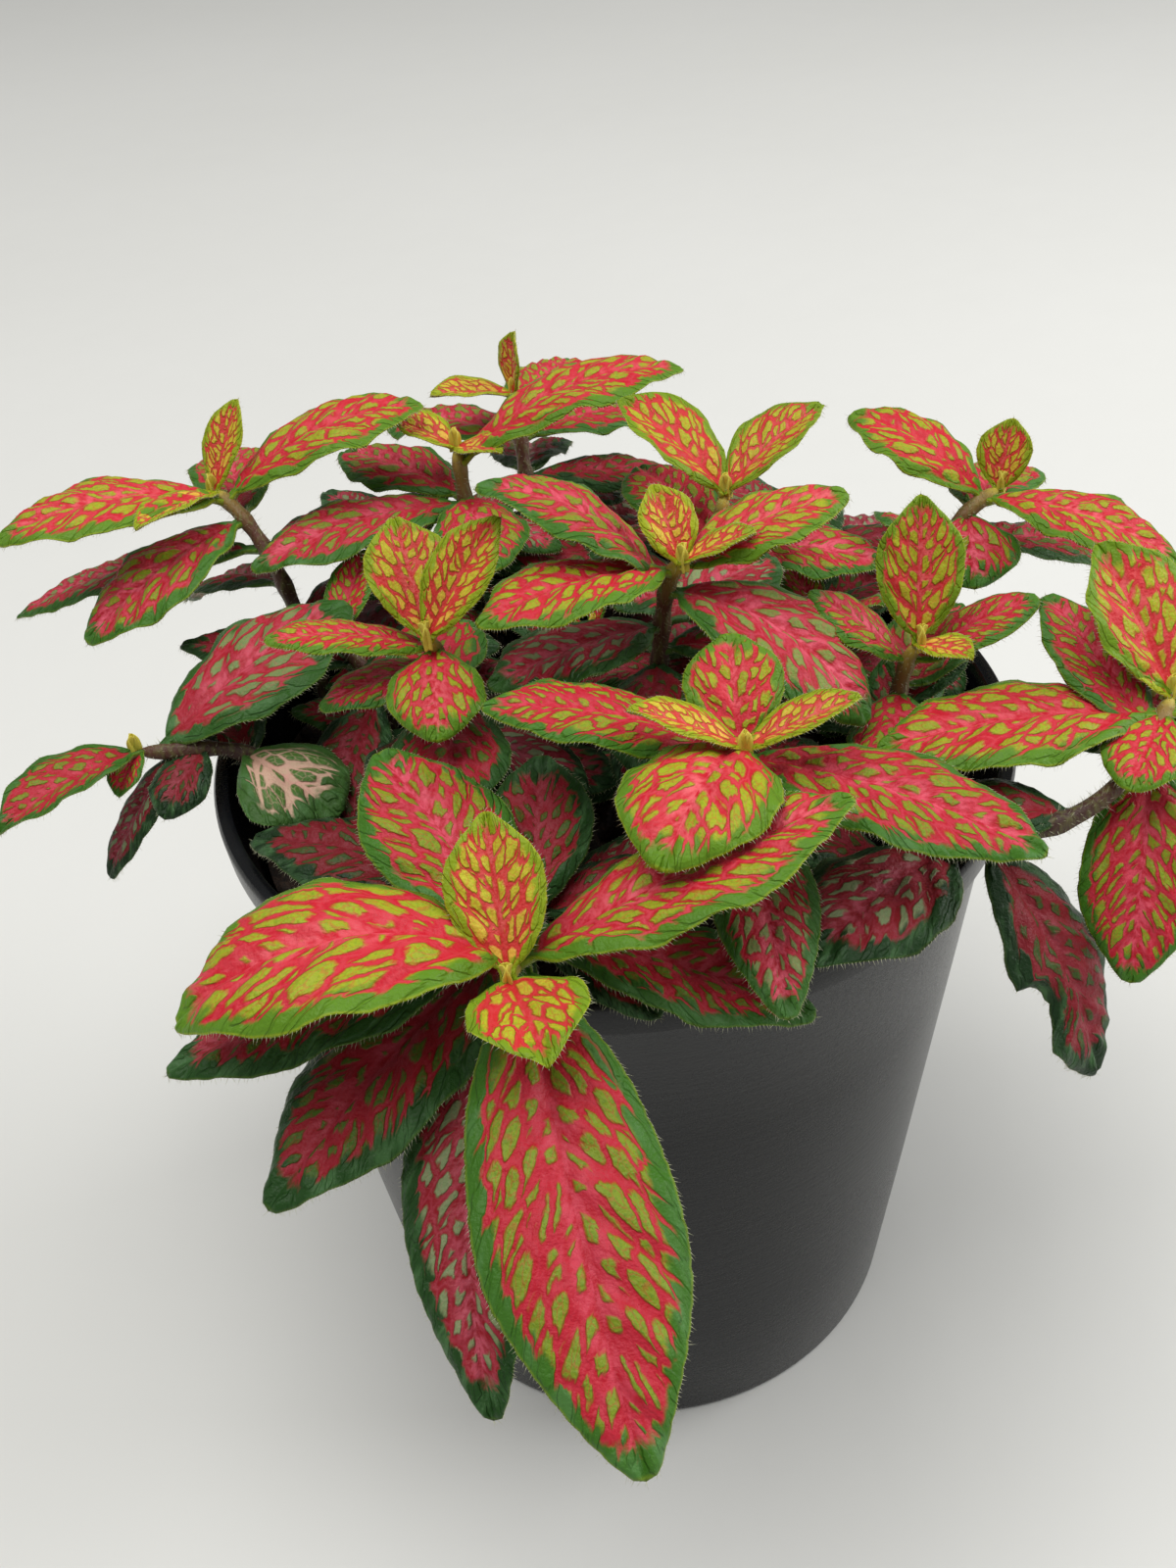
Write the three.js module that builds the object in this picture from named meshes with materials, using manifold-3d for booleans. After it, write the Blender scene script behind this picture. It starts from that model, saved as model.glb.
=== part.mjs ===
// A potted nerve plant (Fittonia): leafy shoots that stand in soil in a plain nursery pot.
// Millimetres, +Z up. The origin is the middle of the pot's flat base.
import * as THREE from "three";
import { mergeVertices } from "three/addons/utils/BufferGeometryUtils.js";
import Module from "manifold-3d";

// Driving dimensions
const RIM_RADIUS = 55;
const POT_HEIGHT = 107;
const COLLAR_HEIGHT = 5.5;
const BODY_TOP_RADIUS = 52.8;
const BASE_RADIUS = 41.5;
const WALL = 1.4;
const FLOOR = 2;
const DRAIN_HOLES = 5;
const DRAIN_RADIUS = 4;
const SOIL_HEIGHT = 97;
const GAP = 0.35; // kept between any two pieces
const STEM_RADIUS = 1.35;
const STEM_SIDES = 5;
const STEM_STEPS = 6;
const ROOT_DEPTH = 8;
const BLADE_THICKNESS = 0.7;
const STALK_WIDTH = 1.8; // the leaf's own short stalk
const STALK_SHARE = 0.07; // of the leaf's length
const FREE_FROM = 0.3; // of the leaf's length: beyond it a blade crosses no other
const YOUNG_ZONE = 2; // leaves nearer to the shoot's tip than this are young and folded
const LONG_LEAF = 20; // over this length a blade has more rows
const LARGE_LEAF = 38; // and over this one more columns too
const POT_STEPS = 40;
const SOIL_STEPS = 20;

const wasm = await Module();
wasm.setup();

// ---- Solids: closed meshes joined and cut as manifold solids ----

function solidOf(geometry) {
  const bare = geometry.clone();
  bare.deleteAttribute("normal");
  bare.deleteAttribute("uv");
  const merged = mergeVertices(bare, 1e-4);
  return new wasm.Manifold(
    new wasm.Mesh({
      numProp: 3,
      vertProperties: merged.attributes.position.array,
      triVerts: new Uint32Array(merged.index.array),
    }),
  );
}

function geometryOf(solid) {
  const made = solid.getMesh();
  const geometry = new THREE.BufferGeometry();
  geometry.setAttribute("position", new THREE.BufferAttribute(made.vertProperties, 3));
  geometry.setIndex(new THREE.BufferAttribute(made.triVerts, 1));
  geometry.computeVertexNormals();
  return geometry;
}

const meets = (a, b) => !a.intersect(b).isEmpty();

// A seeded draw between low and high.
function drawFrom(seed) {
  let state = seed;
  return (low, high) => {
    state = (state * 1664525 + 1013904223) % 4294967296;
    return low + (high - low) * (state / 4294967296);
  };
}

// ---- Pot and soil ----

const profile = (points) => points.map(([r, z]) => new THREE.Vector2(r, z));

// Turns a profile of (radius, height) points, from the axis out and back, into a solid round +Z.
function turned(points, steps) {
  const geometry = new THREE.LatheGeometry(profile(points), steps);
  return geometry.rotateX(Math.PI / 2);
}

function potSolid() {
  const collarFoot = POT_HEIGHT - COLLAR_HEIGHT;
  const shell = turned(
    [
      [0, 0],
      [BASE_RADIUS - 1.2, 0],
      [BASE_RADIUS, 1.2],
      [BODY_TOP_RADIUS, collarFoot],
      [RIM_RADIUS - 0.5, collarFoot + 0.3],
      [RIM_RADIUS, POT_HEIGHT - 0.8],
      [RIM_RADIUS - 0.8, POT_HEIGHT],
      [RIM_RADIUS - 2.1, POT_HEIGHT],
      [RIM_RADIUS - 2.6, collarFoot + 1],
      [BODY_TOP_RADIUS - WALL, collarFoot - 0.6],
      [BASE_RADIUS - WALL, FLOOR + 1],
      [BASE_RADIUS - WALL - 1, FLOOR],
      [0, FLOOR],
    ],
    POT_STEPS,
  );
  let pot = solidOf(shell);
  for (let i = 0; i < DRAIN_HOLES; i++) {
    const turn = (2 * Math.PI * (i + 0.5)) / DRAIN_HOLES;
    const hole = new THREE.CylinderGeometry(DRAIN_RADIUS, DRAIN_RADIUS, 4 * FLOOR, 10);
    hole.rotateX(Math.PI / 2);
    hole.translate(0.68 * BASE_RADIUS * Math.cos(turn), 0.68 * BASE_RADIUS * Math.sin(turn), 0);
    pot = pot.subtract(solidOf(hole));
  }
  return pot;
}

// How far the crumbly soil stands over its mean height.
function crumbs(x, y) {
  const broad = Math.sin(0.21 * x + 1.3) * Math.cos(0.17 * y);
  const fine = Math.sin(0.83 * x - 0.4 * y) + Math.cos(0.71 * y + 0.5 * x);
  return 1.1 * broad + 0.7 * fine;
}

const wallInside = (z) =>
  BASE_RADIUS - WALL + ((BODY_TOP_RADIUS - BASE_RADIUS) * z) / (POT_HEIGHT - COLLAR_HEIGHT);

function soilSolid() {
  const edge = wallInside(SOIL_HEIGHT) - GAP - 0.6;
  const foot = FLOOR + 1 + GAP;
  const rings = [1, 0.75, 0.4, 0];
  const top = rings.map((share) => [share * edge, SOIL_HEIGHT]);
  const plug = turned([[0, foot], [wallInside(foot) - GAP - 1, foot], ...top], SOIL_STEPS);
  const points = plug.attributes.position;
  for (let i = 0; i < points.count; i++) {
    if (points.getZ(i) < SOIL_HEIGHT - 1) continue;
    const fromMiddle = Math.hypot(points.getX(i), points.getY(i));
    if (fromMiddle > 0.95 * edge) continue;
    points.setZ(i, SOIL_HEIGHT + crumbs(points.getX(i), points.getY(i)));
  }
  return solidOf(plug);
}

// ---- Leaves: thin waved blades, each an arc from its node on the stem to its tip ----

// The arc of a blade's midrib: `at(u)` gives its point, `up(u)` the normal and `side(u)` the way across.
function midrib({ base, tip, arch, roll, sweep }) {
  const chord = new THREE.Vector3().subVectors(tip, base);
  const flat = Math.max(Math.hypot(chord.x, chord.y), 1e-3);
  const out = new THREE.Vector3(chord.x / flat, chord.y / flat, 0);
  const across = new THREE.Vector3(-out.y, out.x, 0);
  const bend = THREE.MathUtils.degToRad(Math.max(arch, 1));
  const length = (chord.length() * bend) / 2 / Math.sin(bend / 2);
  const start = Math.atan2(chord.z, flat) + bend / 2;
  const turn = THREE.MathUtils.degToRad(roll);
  const angle = (u) => start - bend * u;
  const normal = (u) => out.clone().multiplyScalar(-Math.sin(angle(u))).setZ(Math.cos(angle(u)));
  return {
    at(u) {
      const reach = (length * (Math.sin(start) - Math.sin(angle(u)))) / bend;
      const rise = (length * (Math.cos(angle(u)) - Math.cos(start))) / bend;
      const aside = sweep * 4 * u * (1 - u);
      return base.clone().addScaledVector(out, reach).addScaledVector(across, aside).setZ(base.z + rise);
    },
    up: (u) => normal(u).multiplyScalar(Math.cos(turn)).addScaledVector(across, -Math.sin(turn)),
    side: (u) => across.clone().multiplyScalar(Math.cos(turn)).addScaledVector(normal(u), Math.sin(turn)),
  };
}

// Half of the blade's width at u: a short stalk, then an oval that is widest past its middle.
function halfWidth(leaf, u) {
  const share = Math.max(0, (u - STALK_SHARE) / (1 - STALK_SHARE));
  const oval = Math.sin(Math.PI * Math.pow(share, 1.1)) ** 0.62;
  return STALK_WIDTH / 2 + (leaf.width / 2 - STALK_WIDTH / 2) * oval;
}

// Row i of a blade's points along its midrib, closer together towards both ends.
function rowAt(i, last) {
  const even = i / last;
  return 0.45 * even + 0.55 * (0.5 - 0.5 * Math.cos(Math.PI * even));
}

// A blade's height over its midrib: halves that rise from the midrib, drop at the edge, and wave.
function lift(leaf, u, v) {
  const half = halfWidth(leaf, u);
  const cup = half * (leaf.fold * Math.abs(v) - leaf.droop * v * v);
  const wave = Math.cos(2 * Math.PI * leaf.waves * u + (v > 0 ? 0 : 1.2));
  return cup + 0.045 * half * wave * Math.abs(v) ** 3;
}

// The closed solid of a blade, grown all round by `extra`, from `start` of its length on.
function bladeGeometry(leaf, extra = 0, start = 0) {
  const rib = midrib(leaf);
  const rows = leaf.rows;
  const columns = leaf.columns;
  const last = rows - 1;
  const thick = BLADE_THICKNESS / 2 + extra;
  const points = [];
  const faces = [];
  for (let i = 0; i < rows; i++) {
    const u = start + (1 - start) * rowAt(i, last);
    const up = rib.up(u);
    const side = rib.side(u);
    const half = halfWidth(leaf, u) + extra;
    for (let j = 0; j < columns; j++) {
      const v = i === last ? 0 : (2 * j) / (columns - 1) - 1;
      const middle = rib.at(u).addScaledVector(side, v * half).addScaledVector(up, lift(leaf, u, v));
      points.push(middle.clone().addScaledVector(up, thick));
      points.push(middle.addScaledVector(up, -thick));
    }
  }
  const upper = (i, j) => 2 * (i * columns + (i === last ? 0 : j));
  const lower = (i, j) => upper(i, j) + 1;
  const face = (a, b, c) => {
    if (a !== b && b !== c && c !== a) faces.push(a, c, b);
  };
  for (let i = 0; i < last; i++) {
    for (let j = 0; j < columns - 1; j++) {
      face(upper(i, j), upper(i, j + 1), upper(i + 1, j + 1));
      face(upper(i, j), upper(i + 1, j + 1), upper(i + 1, j));
      face(lower(i, j), lower(i + 1, j + 1), lower(i, j + 1));
      face(lower(i, j), lower(i + 1, j), lower(i + 1, j + 1));
    }
    for (const [edge, way] of [[0, 1], [columns - 1, -1]]) {
      const strip = [upper(i, edge), upper(i + 1, edge), lower(i + 1, edge), lower(i, edge)];
      if (way < 0) strip.reverse();
      face(strip[0], strip[1], strip[2]);
      face(strip[0], strip[2], strip[3]);
    }
  }
  for (let j = 0; j < columns - 1; j++) {
    face(upper(0, j), lower(0, j), lower(0, j + 1));
    face(upper(0, j), lower(0, j + 1), upper(0, j + 1));
  }
  const used = new THREE.BufferGeometry();
  used.setAttribute("position", new THREE.Float32BufferAttribute(points.flatMap((p) => p.toArray()), 3));
  used.setIndex(faces);
  return used;
}

// ---- Shoots ----

// Each leaf: how far down the stem it grows, its tip x, y, z, its width, arch and roll in degrees,
// and how far its midrib sweeps sideways.
const SHOOTS = {
  shoot_front: {
    root: [-9, -33],
    top: [-14, -60, 117],
    leaves: [
      [0.5, -15, -47, 130, 11, 15],
      [0.5, -10, -74, 119, 13, 25],
      [3, -48, -64, 119, 21, 100],
      [3, 24, -50, 130, 18, 15, -8],
      [7, -28, -29, 126, 17, 20],
      [7, -4, -103, 94, 21, 25, 0, -1],
      [12, -51, -63, 111, 16, 25],
      [12, 19, -59, 107, 14, 20],
      [16, -41, -74, 101, 15, 25],
      [16, -19, -91, 86, 15, 30, 0, -4],
      [16, -9, -27, 122, 13, 20],
      [20, 1, -57, 102, 9, 25],
      [23, -47, -22, 109, 15, 35],
    ],
  },
  shoot_front_right: {
    root: [13, -27],
    top: [14, -38, 128],
    leaves: [
      [0.5, 1, -38, 135, 7, 20],
      [0.5, 27, -38, 134, 7, 15],
      [3, 14, -24, 135, 12, 25],
      [3, 3, -57, 123, 18, 60],
      [7, -15, -36, 133, 13, 40],
      [7, 44, -54, 123, 16, 30],
      [11, 15, -64, 112, 12, 30],
      [16, 9, -10, 116, 14, 30],
    ],
  },
  shoot_middle: {
    root: [6, -4],
    top: [10, -11, 137],
    leaves: [
      [0.5, 7, -5, 145, 8, 15],
      [0.5, 19, -12, 141, 6, 15],
      [3, -15, -23, 138, 14, 40],
      [3, 30, -6, 145, 14, 35],
      [7, -15, -7, 147, 15, 65],
      [7, 31, -24, 120, 18, 75],
      [13, -15, -18, 126, 14, 30],
      [13, 24, 8, 126, 14, 30],
      [19, 2, -26, 116, 13, 30],
      [19, 16, 12, 114, 13, 30],
    ],
  },
  shoot_left_middle: {
    root: [-20, -8],
    top: [-22, -14, 131],
    leaves: [
      [0.5, -25, -2, 142, 11, 20],
      [0.5, -10, -7, 142, 9, 20, 25],
      [3, -41, -17, 135, 9, 30],
      [3, -21, -27, 125, 12, 40],
      [6, -35, -20, 127, 9, 30],
      [12, -20, -33, 118, 15, 30],
      [12, -24, 10, 120, 14, 30],
      [18, -4, -20, 110, 12, 30],
    ],
  },
  shoot_right: {
    root: [36, -12],
    top: [39, -15, 125],
    leaves: [
      [0.5, 40, -6, 141, 11, 10],
      [0.5, 44, -21, 126, 6, 20],
      [4, 54, -13, 129, 10, 25],
      [4, 25, -8, 129, 10, 25],
      [9, 32, -33, 116, 12, 30],
      [9, 48, 2, 120, 13, 30],
      [15, 22, -2, 110, 12, 30],
    ],
  },
  shoot_far_right: {
    root: [31, -33],
    way: [[32, -36, 126], [50, -52, 108]],
    top: [67, -26, 122],
    leaves: [
      [0.5, 60, -13, 136, 16, 20],
      [0.5, 61, -21, 127, 7, 20],
      [3, 31, -28, 119, 17, 30],
      [3, 60, -33, 114, 10, 30],
      [3, 94, -22, 120, 16, 30],
      [7, 58, -49, 97, 14, 30],
      [7, 55, -11, 127, 11, 20],
      [7, 84, -4, 112, 15, 30],
      [24, 31, -36, 112, 12, 25],
      [33, 56, -53, 87, 13, 40],
      [36, 18, -57, 113, 17, 35],
    ],
  },
  shoot_right_back: {
    root: [43, 17],
    top: [59, 23, 125],
    leaves: [
      [0.5, 61, 27, 134, 8, 15],
      [3, 39, 35, 133, 15, 50],
      [3, 79, 5, 121, 14, 45],
      [6, 53, 11, 116, 14, 35],
      [6, 68, 46, 116, 14, 35],
      [12, 84, 30, 106, 14, 35],
      [12, 40, 12, 127, 12, 40],
    ],
  },
  shoot_back_right: {
    root: [17, 18],
    top: [19, 20, 130],
    leaves: [
      [0.5, 5, 31, 140, 13, 35],
      [0.5, 34, 28, 138, 11, 30],
      [3, 27, 7, 132, 9, 30],
      [8, 8, 42, 124, 14, 30],
      [8, 40, 10, 122, 14, 30],
      [15, 38, 36, 112, 14, 30],
      [15, 2, 8, 112, 14, 30],
    ],
  },
  shoot_left_back: {
    root: [-42, 22],
    top: [-55, 34, 130],
    leaves: [
      [0.5, -50, 41, 141, 7, 15],
      [0.5, -64, 25, 130, 7, 20],
      [3, -84, 22, 130, 17, 50],
      [3, -23, 40, 138, 17, 55],
      [7, -73, 14, 118, 17, 35],
      [12, -29, 34, 124, 14, 25],
      [12, -90, 32, 114, 12, 30],
      [7, -58, 64, 122, 14, 35],
      [18, -66, 52, 102, 13, 35],
    ],
  },
  shoot_back_left: {
    root: [-18, 33],
    top: [-19, 38, 132],
    leaves: [
      [0.5, -28, 42, 135, 8, 20],
      [0.5, -12, 32, 133, 8, 20],
      [3, 16, 40, 139, 16, 60],
      [8, -38, 52, 126, 14, 30],
      [8, -14, 14, 124, 14, 30],
      [15, -40, 24, 116, 14, 30],
      [15, 2, 26, 114, 14, 30],
    ],
  },
  shoot_back: {
    root: [-9, 42],
    top: [-10, 55, 132],
    leaves: [
      [0.5, -9, 55, 142, 7, 10, 0],
      [0.5, -23, 52, 134, 8, 20],
      [4, 0, 78, 127, 13, 30],
      [8, 14, 66, 122, 14, 30],
      [8, -32, 70, 122, 14, 30],
      [14, -8, 84, 108, 14, 35],
      [14, 18, 50, 112, 13, 30],
    ],
  },
  shoot_low_left: {
    root: [-43, -3],
    way: [[-45, -3, 116], [-55, -5, 110]],
    top: [-64, -5, 112],
    leaves: [
      [0.5, -80, -18, 110, 11, 40],
      [0.5, -66, -11, 109, 5, 30],
      [3, -35, 14, 121, 21, 30],
      [6, -70, -13, 97, 8, 30],
      [9, -60, -14, 107, 9, 40],
      [14, -37, -14, 105, 14, 30],
      [16, -60, 16, 106, 13, 30],
    ],
  },
};

// Where the shoots that follow the rule stand: azimuth, distance from the axis, height of the tip.
const RULE_PAIRS = 3;
const RULE_SHOOTS = {
  shoot_rear_right: [46, 50, 116],
  shoot_rear_middle: [72, 52, 114],
  shoot_rear_left: [124, 50, 114],
  shoot_side_left: [163, 40, 116],
  shoot_inner_back: [95, 12, 114],
  shoot_inner_right: [20, 34, 112],
};

// A shoot with crossed pairs of leaves: longer, lower and older from pair to pair down the stem.
function shootByRule([azimuth, distance, height], draw) {
  const turn = THREE.MathUtils.degToRad(azimuth);
  const x = distance * Math.cos(turn);
  const y = distance * Math.sin(turn);
  const first = draw(0, 180);
  const leaves = [];
  for (let pair = 0; pair < RULE_PAIRS; pair++) {
    for (const half of [0, 180]) {
      const way = THREE.MathUtils.degToRad(first + 90 * pair + half + draw(-12, 12));
      const rise = THREE.MathUtils.degToRad(42 - 32 * pair + draw(-6, 6));
      const length = 15 + 9 * pair + draw(-2, 2);
      const down = 0.5 + 5 * pair;
      const tipX = x + length * Math.cos(rise) * Math.cos(way);
      const tipY = y + length * Math.cos(rise) * Math.sin(way);
      const tipZ = height - 0.8 * down + length * Math.sin(rise);
      leaves.push([down, tipX, tipY, tipZ, 0.45 * length, 20 + 6 * pair]);
    }
  }
  return { root: [0.8 * x, 0.8 * y], top: [x, y, height], leaves };
}

function allShoots() {
  const draw = drawFrom(7);
  const byRule = Object.entries(RULE_SHOOTS).map(([name, place]) => [name, shootByRule(place, draw)]);
  return { ...SHOOTS, ...Object.fromEntries(byRule) };
}

const vector = (point) => new THREE.Vector3(...point);

// The stem's line: up out of the soil, then over to the shoot's tip.
function stemCurve(shoot) {
  const top = vector(shoot.top);
  const root = new THREE.Vector3(...shoot.root, SOIL_HEIGHT - ROOT_DEPTH);
  const drop = top.z - root.z;
  const [low, high] = shoot.way
    ? shoot.way.map(vector)
    : [
        root.clone().lerp(top, 0.1).setZ(root.z + 0.8 * drop),
        root.clone().lerp(top, 0.6).setZ(root.z + 0.97 * drop),
      ];
  return new THREE.CubicBezierCurve3(root, low, high, top);
}

function stemGeometry(shoot, extra = 0) {
  const section = new THREE.Shape();
  for (let i = 0; i < STEM_SIDES; i++) {
    const turn = (2 * Math.PI * i) / STEM_SIDES;
    const r = STEM_RADIUS + extra;
    if (i === 0) section.moveTo(r, 0);
    else section.lineTo(r * Math.cos(turn), r * Math.sin(turn));
  }
  return new THREE.ExtrudeGeometry(section, { extrudePath: stemCurve(shoot), steps: STEM_STEPS });
}

// The leaf that a row of the table states.
function leafOf(shoot, [down, x, y, z, width, arch, roll = 0, sweep = 0]) {
  const curve = stemCurve(shoot);
  const base = curve.getPointAt(1 - down / curve.getLength());
  const tip = new THREE.Vector3(x, y, z);
  const young = down < YOUNG_ZONE;
  const length = base.distanceTo(tip);
  return {
    base,
    tip,
    width,
    arch,
    roll,
    sweep,
    fold: young ? 0.4 : 0.28,
    droop: young ? 0.15 : 0.38,
    rows: length > LARGE_LEAF ? 8 : length > LONG_LEAF ? 7 : 5,
    columns: length > LARGE_LEAF ? 5 : 3,
    waves: length > LONG_LEAF ? 3.5 : 2.5,
  };
}

// The poses that a leaf may take, nearest first: as stated, then turned a little, then shorter too.
function* poses(leaf) {
  yield leaf;
  const chord = new THREE.Vector3().subVectors(leaf.tip, leaf.base);
  const polar = new THREE.Spherical().setFromVector3(new THREE.Vector3(chord.y, chord.z, chord.x));
  for (const share of [1, 0.88, 0.75, 0.6]) {
    for (const reach of [4, 8, 12, 17, 23]) {
      for (let k = 0; k < 8; k++) {
        const turn = THREE.MathUtils.degToRad(reach);
        const phi = polar.phi - turn * Math.sin((k * Math.PI) / 4);
        const theta = polar.theta + turn * Math.cos((k * Math.PI) / 4);
        const turned = new THREE.Vector3().setFromSphericalCoords(share * polar.radius, phi, theta);
        const tip = leaf.base.clone().add(new THREE.Vector3(turned.z, turned.x, turned.y));
        yield { ...leaf, tip, width: share * leaf.width };
      }
    }
  }
}

// Joins stems and leaves shoot by shoot. Each leaf takes the first pose that is clear of all other
// shoots and of the blades beside it, and a leaf without one isn't grown.
function growShoots(shoots, standing) {
  const grown = new Map();
  for (const [name, shoot] of Object.entries(shoots)) grown.set(name, solidOf(stemGeometry(shoot)));
  for (const [name, shoot] of Object.entries(shoots)) {
    const others = [...grown.keys()].filter((other) => other !== name).map((other) => grown.get(other));
    const obstacles = [...standing, ...others];
    const beside = [];
    for (const row of shoot.leaves) {
      const pose = firstClearPose(leafOf(shoot, row), obstacles, beside);
      if (!pose) continue;
      grown.set(name, grown.get(name).add(solidOf(bladeGeometry(pose))));
      beside.push(solidOf(bladeGeometry(pose, 0, FREE_FROM)));
    }
  }
  return grown;
}

function firstClearPose(leaf, obstacles, beside) {
  for (const pose of poses(leaf)) {
    const blade = solidOf(bladeGeometry(pose, GAP));
    const free = solidOf(bladeGeometry(pose, GAP, FREE_FROM));
    const blocked = obstacles.some((solid) => meets(blade, solid));
    if (!blocked && !beside.some((solid) => meets(free, solid))) return pose;
  }
  return null;
}

function soilWithHoles(soil, shoots) {
  return Object.values(shoots).reduce(
    (cut, shoot) => cut.subtract(solidOf(stemGeometry(shoot, GAP))),
    soil,
  );
}

const potMaterial = new THREE.MeshStandardMaterial({ color: 0x24262a, roughness: 0.55 });
const soilMaterial = new THREE.MeshStandardMaterial({ color: 0x2a1d14, roughness: 1 });
const leafMaterial = new THREE.MeshStandardMaterial({ color: 0x6e8a2b, roughness: 0.6 });

const plant = new THREE.Group();

function addPiece(name, solid, material) {
  const mesh = new THREE.Mesh(geometryOf(solid), material);
  mesh.name = name;
  plant.add(mesh);
}

const shoots = allShoots();
const pot = potSolid();
const soil = soilWithHoles(soilSolid(), shoots);
addPiece("pot", pot, potMaterial);
addPiece("soil", soil, soilMaterial);
for (const [name, solid] of growShoots(shoots, [pot, soil])) {
  addPiece(name, solid, leafMaterial);
}

export default plant;
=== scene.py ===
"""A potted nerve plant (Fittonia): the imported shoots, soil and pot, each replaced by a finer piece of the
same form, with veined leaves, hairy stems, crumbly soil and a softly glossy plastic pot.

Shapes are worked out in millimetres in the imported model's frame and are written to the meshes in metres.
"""

import math
from dataclasses import dataclass, replace

import bpy
import numpy as np
from mathutils import Matrix, Vector
from mathutils.bvhtree import BVHTree


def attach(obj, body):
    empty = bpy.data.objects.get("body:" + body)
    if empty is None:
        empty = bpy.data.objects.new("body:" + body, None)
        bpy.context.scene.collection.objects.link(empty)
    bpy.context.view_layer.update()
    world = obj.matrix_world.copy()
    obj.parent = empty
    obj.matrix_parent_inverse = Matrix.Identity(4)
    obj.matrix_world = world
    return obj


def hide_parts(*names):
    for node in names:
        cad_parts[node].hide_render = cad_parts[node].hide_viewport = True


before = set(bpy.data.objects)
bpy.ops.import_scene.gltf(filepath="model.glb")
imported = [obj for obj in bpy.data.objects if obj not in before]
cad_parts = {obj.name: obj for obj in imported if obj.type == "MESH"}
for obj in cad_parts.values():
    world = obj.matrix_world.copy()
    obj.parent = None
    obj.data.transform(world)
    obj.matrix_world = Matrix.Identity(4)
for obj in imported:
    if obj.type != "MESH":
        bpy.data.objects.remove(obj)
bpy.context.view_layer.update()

MM = 0.001

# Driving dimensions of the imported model, in millimetres
RIM_RADIUS = 55
POT_HEIGHT = 107
COLLAR_FOOT = 101.5
BODY_TOP_RADIUS = 52.8
BASE_RADIUS = 41.5
WALL = 1.4
FLOOR = 2
DRAIN_HOLES = 5
DRAIN_RADIUS = 4
DRAIN_CIRCLE = 0.68 * BASE_RADIUS
SOIL_HEIGHT = 97
GAP = 0.35
ROOT_HEIGHT = 89
STEM_RADIUS = 1.35
BLADE_THICKNESS = 0.7
STALK_WIDTH = 1.8  # the leaf's own short stalk
STALK_SHARE = 0.07  # of the leaf's length
FREE_FROM = 0.3  # of the leaf's length: beyond it a blade crosses no other
YOUNG_ZONE = 2  # leaves nearer to the shoot's tip than this are young and folded
LONG_LEAF = 20  # over this length a blade has more rows
LARGE_LEAF = 38  # and over this one more columns too

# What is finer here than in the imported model
CELL = 0.7  # size of a blade's mesh cells
RIM = 0.16  # width of a blade's thin edge
BLADE_MIDDLE = 0.46  # thickness of a blade over its middle
STALK_MIDDLE = 1.2  # and of its stalk
STALK_END = 0.16  # share of a blade's length over which the stalk thins out
SLIM = 0.8  # a stem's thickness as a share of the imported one's
STEM_SIDES = 14
SIDE_VEINS = 0.5  # side veins for each mesh of the net
VEIN_SWEEP = 0.7  # how far forward a side vein runs for each step outward
VEIN_CURVE = 0.16  # and how much more it does so with each step
SEED_SHIFT = 13.7  # along the net, from the leaf of one seed to the next
HALF_SHIFT = 5.3  # and from one half of a leaf to the other
MIDRIB_DEPTH = 0.34
QUILT = 0.26  # height of the quilting between side veins
BUMPS = 0.12  # and of the fine bumps on it
CRINKLE = 0.16  # and of the edge's crinkles, each CRINKLE_LENGTH long
CRINKLE_LENGTH = 5.2
RUFFLE = 0.34  # and of its ruffles, each RUFFLE_LENGTH long
RUFFLE_LENGTH = 15
TOOTH = 0.16  # depth of the edge's rounded teeth
TOOTH_LENGTH = 2.2
WANDER = 0.12  # how far the edge wanders in and out
WANDER_LENGTH = 17
TIP_FROM = 0.62  # share of a blade's length where it begins to draw to a point
HAIR_THICKNESS = 0.07
NODE_SWELL = 0.35  # how much thicker a stem's radius is at an old node
AXIS = 0.01  # radius at which a turned profile begins
POT_SIDES = 160
UPPER, UNDER, STEM, HAIR, CREAM = range(5)  # a shoot's finishes, in the order of its materials

USUAL_ARCH = 30


@dataclass
class Shoot:
    """A stem and its leaves."""

    root: list  # where the stem stands in the soil
    top: list
    # Each leaf: how far down the stem it grows, its tip x, y, z, its width and, where they aren't usual, its
    # arch and roll in degrees and how far its midrib sweeps sideways
    leaves: list
    way: list = None  # the stem's two middle corners, where it creeps outward


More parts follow.
